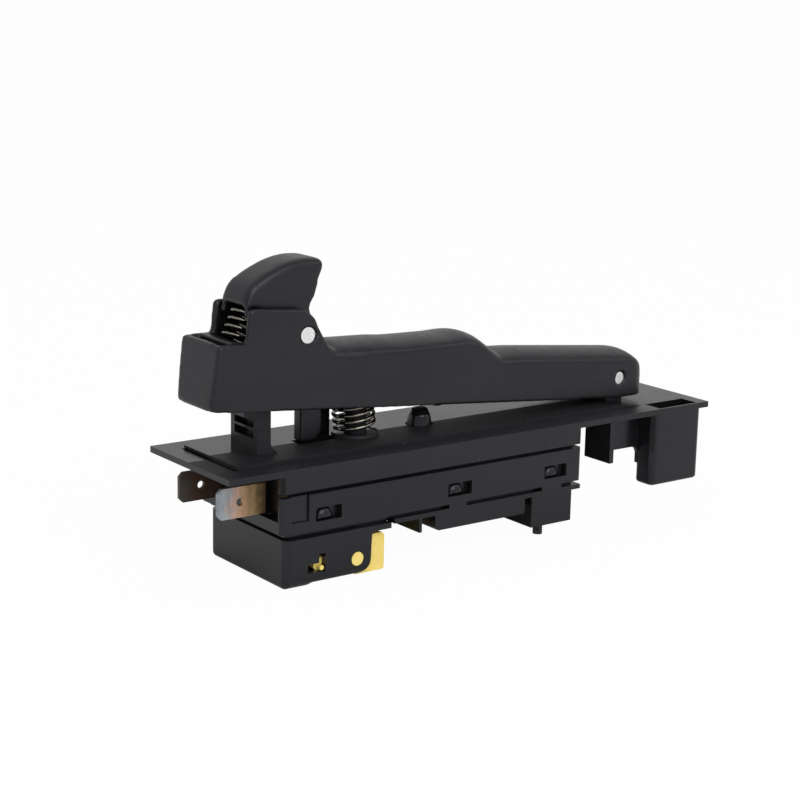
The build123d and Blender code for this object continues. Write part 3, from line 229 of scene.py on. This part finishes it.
floor_form = bmesh.new()
bmesh.ops.create_grid(floor_form, x_segments=1, y_segments=1, size=FLOOR_HALF)
bmesh.ops.translate(floor_form, verts=floor_form.verts, vec=(0, 0, cad_box[0][2]))
floor_mesh = mesh_of(floor_form, "pale_floor")
floor = in_scene("pale_floor", floor_mesh)

sheet = new_material("pale_sheet")
tree = sheet.node_tree
ray = node(tree, "LightPath")
share = node(tree, "Math", {0: ray.outputs["Is Camera Ray"], 1: FLOOR_WHITE}, operation="MULTIPLY")
matt = node(tree, "BsdfDiffuse", {"Color": FLOOR_PALE})
glow = node(tree, "Emission", {"Color": PLAIN_WHITE, "Strength": 1.0})
blend = node(tree, "MixShader", {0: share.outputs[0], 1: matt.outputs[0], 2: glow.outputs[0]})
show(tree, blend.outputs[0])
floor_mesh.materials.append(sheet)
print("floor at", round(cad_box[0][2] / MM, 1), "mm")

# %% [markdown]
# ## Textures that follow the piece
# Every texture here reads Object coordinates: the place of a point on the piece, in metres. The
# pattern then stays on the piece when it moves. A noise with a scale of 700 has about 700
# features in a metre, so its clouds are a millimetre and a half wide. The values of a noise
# crowd around a half, so a band between 0.3 and 0.7 takes in most of them.

# %% Texture helpers
MOST = (0.3, 0.7)
MIDDLE = (0.35, 0.65)


def place_of(tree, stretch):
    """Object coordinates, stretched."""
    where = node(tree, "TexCoord")
    mapping = node(tree, "Mapping", {"Vector": where.outputs["Object"], "Scale": stretch})
    return mapping.outputs[0]


def noise(tree, scale, detail=2.0, stretch=(1, 1, 1)):
    """A noise in Object coordinates; scale is in features a metre."""
    return node(tree, "TexNoise", {"Vector": place_of(tree, stretch), "Scale": scale,
                                   "Detail": detail}).outputs["Fac"]


def band(tree, value, low, high, to_low=0.0, to_high=1.0):
    """Maps a value from one range to another, held at the ends."""
    made = node(tree, "MapRange", {"Value": value, "From Min": low, "From Max": high,
                                   "To Min": to_low, "To Max": to_high})
    return made.outputs["Result"]


def tint(tree, share, low, high):
    """A colour between two colours."""
    made = node(tree, "Mix", {0: share, 6: low, 7: high}, data_type="RGBA")
    return made.outputs[2]


def along(tree, axis):
    """The place along one axis, in metres."""
    where = node(tree, "TexCoord")
    return node(tree, "SeparateXYZ", {0: where.outputs["Object"]}).outputs[axis]


def combined(tree, first, second, operation):
    """Two values put together by a sum or a product."""
    return node(tree, "Math", {0: first, 1: second}, operation=operation).outputs[0]


def coat(material, colour, rough, relief, strength, depth, more):
    """Ends a material with its shader; more holds the constant inputs that only this one sets."""
    tree = material.node_tree
    bump = node(tree, "Bump", {"Height": relief, "Strength": strength, "Distance": depth})
    shader = node(tree, "BsdfPrincipled", {"Base Color": colour, "Roughness": rough,
                                           "Normal": bump.outputs[0], **more})
    show(tree, shader.outputs[0])
    return material


# %% [markdown]
# ## Black moulded plastic
# The housing, lever and lock are glass-filled nylon, moulded in a spark-eroded tool. Such a
# surface is satin, not shiny: a fine grain breaks the reflection up, and it is a little smoother
# where fingers and the tool have polished it. Three noises are enough. A very fine one is the
# grain, a middle one varies the gloss, and a wide, stretched one leaves the faint flow marks of
# the melt. Sparse pale specks stand for dust, which black plastic always shows.
#
# The top of the front half shell is rougher than its edges. Two bands make that extra
# roughness: one follows the height, and one fades it out towards the pivot end.

# %% Black plastic
BLACK = (0.0060, 0.0060, 0.0072)
DUST_COLOUR = (0.16, 0.155, 0.15, 1)
COOL_SHEEN = (0.90, 0.92, 1.0, 1)
NYLON_IOR = 1.44
FLOW_MARKS, FLOW_STRETCH = 90, (0.35, 1, 1)
FLOW_GAIN, FLOW_LIFT = 1.35, 0.002
ROUGH_CLOUDS = 700
GRAIN, GRAIN_DEPTH = 6500, 0.04 * MM
SPECKS = 1700
SPECK_FROM, SPECK_FULL = 0.77, 0.81
MATT_FROM = 1.3 * MM
EDGE_FADE = 0.2 * MM
MATT_EXTRA = 0.36
MATT_FADE = 25 * MM
MATT_UNTIL = 105 * MM


def black_plastic(name, rough_low, rough_high, grain, dust=0.5, matt_top=False):
    """Satin moulded plastic; with matt_top it is rougher on top, up to MATT_UNTIL along X."""
    material = new_material(name)
    tree = material.node_tree
    flow = noise(tree, FLOW_MARKS, detail=3.0, stretch=FLOW_STRETCH)
    specks = band(tree, noise(tree, SPECKS, detail=1.0), SPECK_FROM, SPECK_FULL, 0.0, dust)
    pale = tuple(c * FLOW_GAIN + FLOW_LIFT for c in BLACK)
    ground = tint(tree, band(tree, flow, *MIDDLE), (*BLACK, 1), (*pale, 1))
    dusty = tint(tree, specks, ground, DUST_COLOUR)
    rough = band(tree, noise(tree, ROUGH_CLOUDS, detail=4.0), *MOST, rough_low, rough_high)
    if matt_top:
        ahead = band(tree, along(tree, "X"), MATT_UNTIL - MATT_FADE, MATT_UNTIL, MATT_EXTRA, 0.0)
        above = band(tree, along(tree, "Z"), MATT_FROM - EDGE_FADE, MATT_FROM)
        rough = combined(tree, rough, combined(tree, ahead, above, "MULTIPLY"), "ADD")
    return coat(material, dusty, rough, noise(tree, GRAIN), grain, GRAIN_DEPTH,
                {"IOR": NYLON_IOR, "Specular Tint": COOL_SHEEN})


housing_plastic = black_plastic("housing_plastic", 0.17, 0.25, 0.16)
front_plastic = black_plastic("front_plastic", 0.20, 0.28, 0.16, matt_top=True)
lever_plastic = black_plastic("lever_plastic", 0.28, 0.38, 0.2, dust=0.15)
glossy_plastic = black_plastic("glossy_plastic", 0.08, 0.14, 0.08, dust=0.0)
print("materials so far", len(bpy.data.materials))

# %% [markdown]
# ## Wire, pins and contacts
# Springs are drawn wire, still glossy; their colour is darkened as painted shade, standing for
# the dark surroundings that the springs mirror. The pins are turned rod, cut and faced. The
# contacts are brass with silver tips. All four are one recipe: a noise moves both the colour
# and the gloss between a clean and a dull state, and it is the fine relief as well.

# %% Metals
METAL_RELIEF, METAL_DEPTH = 0.2, 0.03 * MM
DULL_BAND = (0.35, 0.7)


def worn_metal(name, clean, dull, rough_low, rough_high, scale):
    """A metal whose colour and gloss vary with a noise."""
    material = new_material(name)
    tree = material.node_tree
    cloud = noise(tree, scale, detail=5.0)
    shade = tint(tree, band(tree, cloud, *DULL_BAND), (*clean, 1), (*dull, 1))
    rough = band(tree, cloud, *MOST, rough_low, rough_high)
    return coat(material, shade, rough, cloud, METAL_RELIEF, METAL_DEPTH, {"Metallic": 1.0})


# The wire's colours are kept dark: painted shade for the dark recess and lever underside the springs
# mirror.
shade_darkened_wire = worn_metal("shade_darkened_wire", (0.30, 0.28, 0.25), (0.16, 0.15, 0.13), 0.10, 0.2, 2500)
pin_steel = worn_metal("pin_steel", (0.9, 0.9, 0.9), (0.78, 0.78, 0.78), 0.35, 0.5, 1800)
contact_brass = worn_metal("contact_brass", (0.72, 0.50, 0.24), (0.5, 0.33, 0.16), 0.25, 0.45, 900)
contact_silver = worn_metal("contact_silver", (0.85, 0.84, 0.82), (0.6, 0.58, 0.55), 0.2, 0.4, 1500)
print("materials so far", len(bpy.data.materials))

# %% [markdown]
# ## Blades that have been hot
# A tinned brass blade that has carried heat shows it in bands: grey tin at the tip, then pink,
# tan, and brown where it enters the housing. The colours are a chain of mixes along X. Each
# takes over from the one before it between two places, and a noise shifts those places by a
# millimetre or so, so that the borders wander as real ones do. Inside the throat the colour goes
# to near-black: painted shade, where the blade runs into the dark housing.

# %% Burnt blades
BLADE_CLOUDS = 450
BLADE_DRIFT = 1.2 * MM
BLADE_METAL = 0.75
STREAKS, STREAK_STRETCH, STREAK_SHARE = 900, (1, 1, 0.3), 0.35
STAIN = (0.10, 0.07, 0.05, 1)
THROAT = 1.2 * MM
# Near-black painted shade for the part of a blade inside the housing's throat.
THROAT_SHADE = (0.006, 0.005, 0.004, 1)


def burnt_blade(name, ramp, rough_low, rough_high):
    """A tinned blade whose colour follows its heat: ramp lists a place along X in mm and a colour."""
    material = new_material(name)
    tree = material.node_tree
    cloud = noise(tree, BLADE_CLOUDS, detail=5.0)
    drift = band(tree, cloud, *MOST, -BLADE_DRIFT, BLADE_DRIFT)
    place = combined(tree, along(tree, "X"), drift, "ADD")
    colour = (*ramp[0][1], 1)
    for (start, _), (end, after) in zip(ramp, ramp[1:]):
        colour = tint(tree, band(tree, place, start * MM, end * MM), colour, (*after, 1))
    streaks = noise(tree, STREAKS, detail=4.0, stretch=STREAK_STRETCH)
    streak = band(tree, streaks, *MIDDLE, 0.0, STREAK_SHARE)
    stained = tint(tree, streak, colour, STAIN)
    # Past the throat's start the blade is mixed to near-black: painted shade inside the housing.
    inside = band(tree, along(tree, "X"), THROAT - EDGE_FADE, THROAT)
    throat_shaded = tint(tree, inside, stained, THROAT_SHADE)
    rough = band(tree, cloud, *MOST, rough_low, rough_high)
    return coat(material, throat_shaded, rough, cloud, METAL_RELIEF, METAL_DEPTH, {"Metallic": BLADE_METAL})


FRONT_HEAT = [
    (-9.8, (0.36, 0.43, 0.48)),
    (-8.0, (0.42, 0.44, 0.46)),
    (-6.6, (0.62, 0.44, 0.38)),
    (-4.2, (0.66, 0.42, 0.25)),
    (-1.5, (0.60, 0.40, 0.20)),
    (1.2, (0.26, 0.17, 0.08)),
]
# The rear blade: the same kind of ramp, with far darker colours.
REAR_DARK_RAMP = [
    (-9.5, (0.110, 0.110, 0.104)),
    (-7.5, (0.105, 0.085, 0.070)),
    (-5.5, (0.110, 0.060, 0.035)),
    (-1.0, (0.070, 0.042, 0.028)),
]
front_blade = burnt_blade("front_blade_tin", FRONT_HEAT, 0.38, 0.55)
rear_blade = burnt_blade("rear_blade_tin", REAR_DARK_RAMP, 0.4, 0.55)
print("blade colours", len(FRONT_HEAT), "in front and", len(REAR_DARK_RAMP), "at the rear")

# %% [markdown]
# ## The yellow release
# The release is a lemon yellow nylon. A little light enters it and comes out again near by,
# which subsurface scattering stands for, and keeps its shaded sides warm.

# %% Yellow plastic
LEMON, PALE_LEMON = (0.95, 0.70, 0.17, 1), (0.98, 0.77, 0.24, 1)
LEMON_CLOUDS, LEMON_ROUGH_CLOUDS, LEMON_GRAIN = 300, 900, 5000
LEMON_ROUGHNESS = (0.3, 0.45)
LEMON_RELIEF, LEMON_DEPTH = 0.15, 0.03 * MM

yellow_plastic = new_material("yellow_plastic")
tree = yellow_plastic.node_tree
lemon = tint(tree, band(tree, noise(tree, LEMON_CLOUDS, detail=3.0), *MIDDLE), LEMON, PALE_LEMON)
rough = band(tree, noise(tree, LEMON_ROUGH_CLOUDS, detail=3.0), *MOST, *LEMON_ROUGHNESS)
coat(yellow_plastic, lemon, rough, noise(tree, LEMON_GRAIN), LEMON_RELIEF, LEMON_DEPTH,
     {"IOR": 1.5, "Subsurface Weight": 0.15, "Subsurface Scale": 1.0 * MM})
print("materials", len(bpy.data.materials))

# %% [markdown]
# ## Dressing the solids
# The record names a material slot for every solid, so one table from slot to material dresses
# them all. Two solids differ from their slot: the rear blade is coloured much darker than the
# front one, and the plunger is polished.

# %% Dress the solids
FINISHES = {
    "black_plastic": housing_plastic,
    "yellow_plastic": yellow_plastic,
    "pin_steel": pin_steel,
    "spring_steel": shade_darkened_wire,
    "tinned_brass": front_blade,
    "contact_brass": contact_brass,
    "contact_silver": contact_silver,
}
SLOTS = {part["node"]: part["material_slot"] for part in frame["record"]["subparts"]}


def dress(piece, finish):
    """Gives a piece one material in all its slots."""
    if not piece.data.materials:
        piece.data.materials.append(finish)
    for slot in piece.material_slots:
        slot.material = finish


for name, solid in frame["nodes"].items():
    dress(solid, FINISHES[SLOTS[name]])
dress(frame["nodes"]["terminal_rear"], rear_blade)
dress(frame["nodes"]["plunger"], glossy_plastic)
print("dressed", len(frame["nodes"]), "solids")

# %% [markdown]
# ## Rounded edges
# A moulded edge is never sharp: it has a radius of a tenth of a millimetre or more, and that
# radius is what catches the light. The CAD solids have their designed fillets, and every other
# edge is a knife edge. A merged copy of a solid is rounded here by a bevel on its real corners,
# chosen by the angle between faces and by length, so that facets of round walls stay smooth.

# %% Rounding helpers
MERGE = 0.002 * MM
FLAT_ANGLE = radians(1.0)
CORNER_ANGLE = radians(35.0)
SHORTEST_CORNER = 0.6 * MM


def merged_form(name):
    """A bmesh of a solid with its loose triangles joined and its flat faces made whole."""
    form = bmesh.new()
    form.from_mesh(frame["nodes"][name].data)
    bmesh.ops.remove_doubles(form, verts=form.verts, dist=MERGE)
    bmesh.ops.dissolve_limit(form, angle_limit=FLAT_ANGLE, verts=form.verts, edges=form.edges)
    return form


def is_corner(edge):
    """Whether two faces meet at a real corner in this edge."""
    if len(edge.link_faces) != 2 or edge.calc_length() < SHORTEST_CORNER:
        return False
    return edge.calc_face_angle(0.0) >= CORNER_ANGLE


def round_corners(form, radius):
    """Bevels the real corners; returns how many there are."""
    edges = [edge for edge in form.edges if is_corner(edge)]
    bmesh.ops.bevel(form, geom=edges, offset=radius, offset_type="OFFSET", segments=2,
                    profile=0.5, affect="EDGES", clamp_overlap=True, material=-1)
    return len(edges)


def finished_piece(form, name, source, finish, body):
    """Makes the piece that stands for a solid, smooth-shaded up to its corners."""
    mesh = mesh_of(form, name)
    for face in mesh.polygons:
        face.use_smooth = True
    mesh.set_sharp_from_angle(angle=CORNER_ANGLE)
    piece = in_scene(name, mesh)
    mesh.materials.append(finish)
    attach(piece, body)
    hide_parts(source)
    return piece


# %% [markdown]
# ## Flat faces that look flat
# Smooth shading bends the normals of a large face towards the small rounded strip beside it,
# which shows as a faint pillow. Normals weighted by face area let the large face keep its own
# direction, and only the rounded strip turns.

# %% Round the black mouldings of the housing
EVEN_WEIGHT = 100


def even_normals(piece):
    """Lets each large face keep its own normal where it meets a narrow rounded edge."""
    even = piece.modifiers.new("even_normals", "WEIGHTED_NORMAL")
    even.keep_sharp = True
    even.weight = EVEN_WEIGHT


# Each moulding: the solid, the piece's name, its finish, the radius of its edges in mm.
MOULDINGS = [
    ("base_front", "front_half_shell", front_plastic, 0.14),
    ("base_rear", "rear_half_shell", housing_plastic, 0.14),
    ("housing_sleeve", "sleeve_moulding", housing_plastic, 0.14),
    ("bottom_cover", "cover_moulding", housing_plastic, 0.14),
    ("lower_cap", "cap_moulding", housing_plastic, 0.2),
]
for source, name, finish, radius in MOULDINGS:
    form = merged_form(source)
    faces = len(form.faces)
    count = round_corners(form, radius * MM)
    piece = finished_piece(form, name, source, finish, "base")
    even_normals(piece)
    print(name, faces, "faces,", count, "corners rounded,", len(piece.data.polygons), "after")

# %% [markdown]
# ## The lever and the lock, soft all over
# The two pieces that a hand touches have no crisp edge anywhere: the lever's crown runs into its
# ears in one sweep, and the finger piece is rounded like a pebble. Rounding edge by edge would
# leave seams where edges of different radii meet. Here the solid is first turned into an even,
# fine net of faces by a voxel remesh, the way a clay model is skinned, and the net is then
# smoothed: a few passes everywhere for the general softness, and many more in the places where
# the real moulding has its large radii. Last, a decimation takes out the faces that the flat
# parts don't need.

# %% Soft skin helpers
FAR = 200.0
EVERYWHERE = -1.0


def with_modifier(form, kind, **settings):
    """The form as it is after one modifier has worked on it."""
    mesh = mesh_of(form, "carrier")
    carrier = in_scene("carrier", mesh)
    modifier = carrier.modifiers.new("work", kind)
    for key, value in settings.items():
        setattr(modifier, key, value)
    graph = bpy.context.evaluated_depsgraph_get()
    graph.update()
    made = bmesh.new()
    made.from_mesh(carrier.evaluated_get(graph).to_mesh())
    bpy.data.objects.remove(carrier)
    bpy.data.meshes.remove(mesh)
    return made


def smooth(form, verts, passes):
    """Draws some vertices halfway towards their neighbours, several times."""
    for _ in range(passes):
        bmesh.ops.smooth_vert(form, verts=verts, factor=0.5, use_axis_x=True, use_axis_y=True,
                              use_axis_z=True)


def zone(x_from=-FAR, x_to=FAR, y_past=EVERYWHERE, z_from=-FAR, z_slope=0.0):
    """A test of a point in mm: between two places along X, past one to either side, above a line."""
    def holds(p):
        return x_from < p.x < x_to and abs(p.y) > y_past and p.z > z_from + z_slope * p.x
    return holds


def soft_skin(source, voxel, passes, shape, zones, keep):
    """A form of a solid, skinned with even faces, smoothed, shaped, and smoothed more in its zones.

    Each zone is a test of a point and a number of passes; keep is the share of faces that stay.
    """
    form = merged_form(source)
    bmesh.ops.triangulate(form, faces=form.faces)
    form = with_modifier(form, "REMESH", mode="VOXEL", voxel_size=voxel)
    smooth(form, form.verts, passes)
    shape(form)
    for inside, extra in zones:
        smooth(form, [vert for vert in form.verts if inside(vert.co / MM)], extra)
    return with_modifier(form, "DECIMATE", ratio=keep)


def ramp_between(value, start, end):
    """0 before start, 1 after end, straight in between."""
    return min(1.0, max(0.0, (value - start) / (end - start)))


# %% [markdown]
# ## The dome of the hand rest
# The solid's hand rest is flat across, and a real one is crowned, so that a palm rolls over it.
# The dome is sculpted by moving vertices. Across the lever its height follows one minus the
# square of y, to a power: full in the middle, nothing at the sides. Along the lever it follows a
# table of heights.
# It is scaled by how far a face looks up, so the side walls don't swell.
#
# Each vertex moves along its own normal, seen from the side. Over the pivot end that would push
# the curved nose out past the end face, so there the move turns straight up. The bore for the
# pivot pin also has faces that look up, and it is left alone.

# %% Crown of the hand rest
lever_low, lever_high = [Vector(corner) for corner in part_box("trigger_lever")]
HALF_FREE_END = 7.3 * MM
HALF_PIVOT_END = 6.45 * MM
CROWN_START = 16.2 * MM
CROWN_RAMP = 3.0 * MM
# A place along X and the dome's height there, in mm.
CROWN_RISES = ((20.0, 1.7), (32.0, 2.0), (48.0, 1.4), (69.0, 2.2), (105.0, 1.9))
CROWN_FULLNESS = 0.7
FULL_LIFT = 0.5
PIN_TOP = 8.8 * MM
PAST_PIN = 99.0 * MM
NOSE_START = 94.0 * MM


def crown_rise(x):
    """The dome's height at a place along the lever."""
    rise = CROWN_RISES[0][1]
    for (start, before), (end, after) in zip(CROWN_RISES, CROWN_RISES[1:]):
        rise += (after - before) * ramp_between(x, start * MM, end * MM)
    return rise * MM


def raise_crown(form):
    """Lifts the hand rest's skin into a dome, highest along the middle and nothing at the sides."""
    form.normal_update()
    for vert in form.verts:
        x, y, normal = vert.co.x, vert.co.y, vert.normal
        if x < CROWN_START or normal.z <= 0 or (vert.co.z < PIN_TOP and x < PAST_PIN):
            continue
        share = (x - lever_low.x) / (lever_high.x - lever_low.x)
        across = min(1.0, abs(y) / (HALF_FREE_END * (1 - share) + HALF_PIVOT_END * share))
        rise = crown_rise(x) * min(1.0, normal.z / FULL_LIFT)
        rise *= ramp_between(x, CROWN_START, CROWN_START + CROWN_RAMP)
        forward = normal.x * (1 - ramp_between(x, NOSE_START, PAST_PIN))
        outward = Vector((forward, 0, normal.z)).normalized()
        vert.co += outward * rise * (1 - across ** 2) ** CROWN_FULLNESS


print("dome", [rise for _, rise in CROWN_RISES], "mm high along", [x for x, _ in CROWN_RISES])

# %% [markdown]
# ## The backs of the ears
# The two ears that hold the lock have a back edge that swells a little behind the pin. Smoothing
# wears such an edge away, so it is filled out by a fraction of a millimetre first. Two ramps in
# height bring the swelling in and take it out again.

# %% Ears
EAR_BULGE = 0.7 * MM
EAR_INSIDE = 5.6 * MM
EAR_BACK = (11.7 * MM, 12.7 * MM)
EAR_END = 20 * MM
SWELL_IN = (19.5 * MM, 23 * MM)
SWELL_OUT = (28.5 * MM, 31 * MM)


def fill_ear_backs(form):
    """Fills the ears' back edges out into a slight curve behind the pin."""
    for vert in form.verts:
        x, y, z = vert.co
        if abs(y) > EAR_INSIDE and x < EAR_END:
            swell = ramp_between(z, *SWELL_IN) - ramp_between(z, *SWELL_OUT)
            vert.co.x += EAR_BULGE * ramp_between(x, *EAR_BACK) * swell


def shape_lever(form):
    """All that is sculpted on the lever's skin."""
    fill_ear_backs(form)
    raise_crown(form)


print("ears filled out by", EAR_BULGE / MM, "mm")

# %% [markdown]
# ## Where the lever is softest
# The zones say where the skin is smoothed more, and how often. The place where the hand rest
# runs up into the ears needs most, because in the real moulding it is one large hollow. The long
# edges are softened down to a sloping line, well above the lever's open underside, so that the
# lower edge stays crisp.

# %% Lever
REST_START = zone(x_from=13.5, x_to=27.0, z_from=18.0)
REST_EDGES = zone(x_from=22.0, z_from=16.0, z_slope=-0.083)
PIVOT_NOSE = zone(x_from=98.0, z_from=6.0)
CREST = zone(x_from=48.0, x_to=66.0, z_from=12.5)
FREE_CORNERS = zone(x_to=-7.0, y_past=4.6)
EAR_EDGES = zone(z_from=26.5)
LEVER_ZONES = [(REST_START, 36), (REST_EDGES, 10), (PIVOT_NOSE, 8), (CREST, 6), (FREE_CORNERS, 12),
               (EAR_EDGES, 8)]
LEVER_VOXEL, LEVER_KEEP = 0.3 * MM, 0.45
SOFT_PASSES = 3

form = soft_skin("trigger_lever", LEVER_VOXEL, SOFT_PASSES, shape_lever, LEVER_ZONES, LEVER_KEEP)
piece = finished_piece(form, "trigger_moulding", "trigger_lever", lever_plastic, "trigger")
print("lever", len(piece.data.polygons), "faces")

# %% [markdown]
# ## The lock
# The finger piece ends in a blunt, rounded tip. Much smoothing would draw the tip in, so it is
# first pushed out by about as much as the smoothing will take back.

# %% Lock
NOSE_REACH = 1.1 * MM
NOSE_ALONG = (0.0, 4 * MM)
NOSE_UP = (31 * MM, 33 * MM)
FINGER_CROWN = zone(z_from=31.0)
FINGER_NOSE = zone(x_from=1.0, z_from=35.5)
LOCK_ZONES = [(FINGER_CROWN, 20), (FINGER_NOSE, 34)]
LOCK_VOXEL, LOCK_KEEP = 0.25 * MM, 0.5


def push_nose(form):
    """Fills the finger piece out to its rounded tip."""
    for vert in form.verts:
        ahead = ramp_between(vert.co.x, *NOSE_ALONG) * ramp_between(vert.co.z, *NOSE_UP)
        vert.co.x += NOSE_REACH * ahead


form = soft_skin("lock_lever", LOCK_VOXEL, SOFT_PASSES, push_nose, LOCK_ZONES, LOCK_KEEP)
piece = finished_piece(form, "lock_moulding", "lock_lever", lever_plastic, "lock")
print("lock", len(piece.data.polygons), "faces")

# %% [markdown]
# ## Springs, each a piece of its own
# A rigid coil would stick out through the lever when the trigger is squeezed. Each spring gets a
# piece of its own: a merged, smooth-shaded copy of its solid, on its body, with a mesh of its own.

# %% Springs
# Each spring: the piece's name, the solid, its body, its joint, its foot, its head and its
# travel, the last three in mm.
SPRINGS = [
    ("return_coil", "return_spring", "base", "trigger_press", (27.9, 0, 3.1), (27.9, 0, 17.0), 6.6),
    ("plunger_coil", "plunger_spring", "base", "plunger_slide", (44.75, 0, -11.5), (44.75, 0, -2.4),
     3.3),
    ("lock_coil", "lock_spring", "trigger", "lock_tilt", (-1.4, 0, 24.3), (1.5, 0, 30.8), 2.1),
]
for name, source, body, joint, foot, head, travel in SPRINGS:
    coil = finished_piece(merged_form(source), name, source, FINISHES[SLOTS[source]], body)
    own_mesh(coil)

# %% [markdown]
# ## A rib that closes the seam
# The sleeve stands on the lower cap with a dark seam between them. A short rib under the sleeve
# hangs between the cap's side walls where they run out in thin tongues, so that no light shows
# through. It takes its place from the boxes of its two neighbours.

# %% Rib over the cap's tongues
RIB_LENGTH = 7.8 * MM
RIB_INSET = 0.05 * MM
RIB_DEPTH = 2.1 * MM
RIB_HALF_WIDTH = 13.2 * MM
RIB_EDGE = 0.15 * MM

seam_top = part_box("housing_sleeve")[0].z
cap_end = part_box("lower_cap")[1].x
size = Vector((RIB_LENGTH, 2 * RIB_HALF_WIDTH, RIB_DEPTH))
middle = Vector((cap_end - RIB_INSET - RIB_LENGTH / 2, 0, seam_top - RIB_DEPTH / 2))
form = bmesh.new()
bmesh.ops.create_cube(form, size=1, matrix=Matrix.Translation(middle) @ Matrix.Diagonal((*size, 1)))
bmesh.ops.bevel(form, geom=form.edges, offset=RIB_EDGE, affect="EDGES", segments=2, profile=0.5,
                material=-1)
mesh = mesh_of(form, "seam_rib")
mesh.materials.append(housing_plastic)
rib = in_scene("seam_rib", mesh)
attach(rib, "base")
print("rib over the tongues, %.1f mm deep" % (RIB_DEPTH / MM))
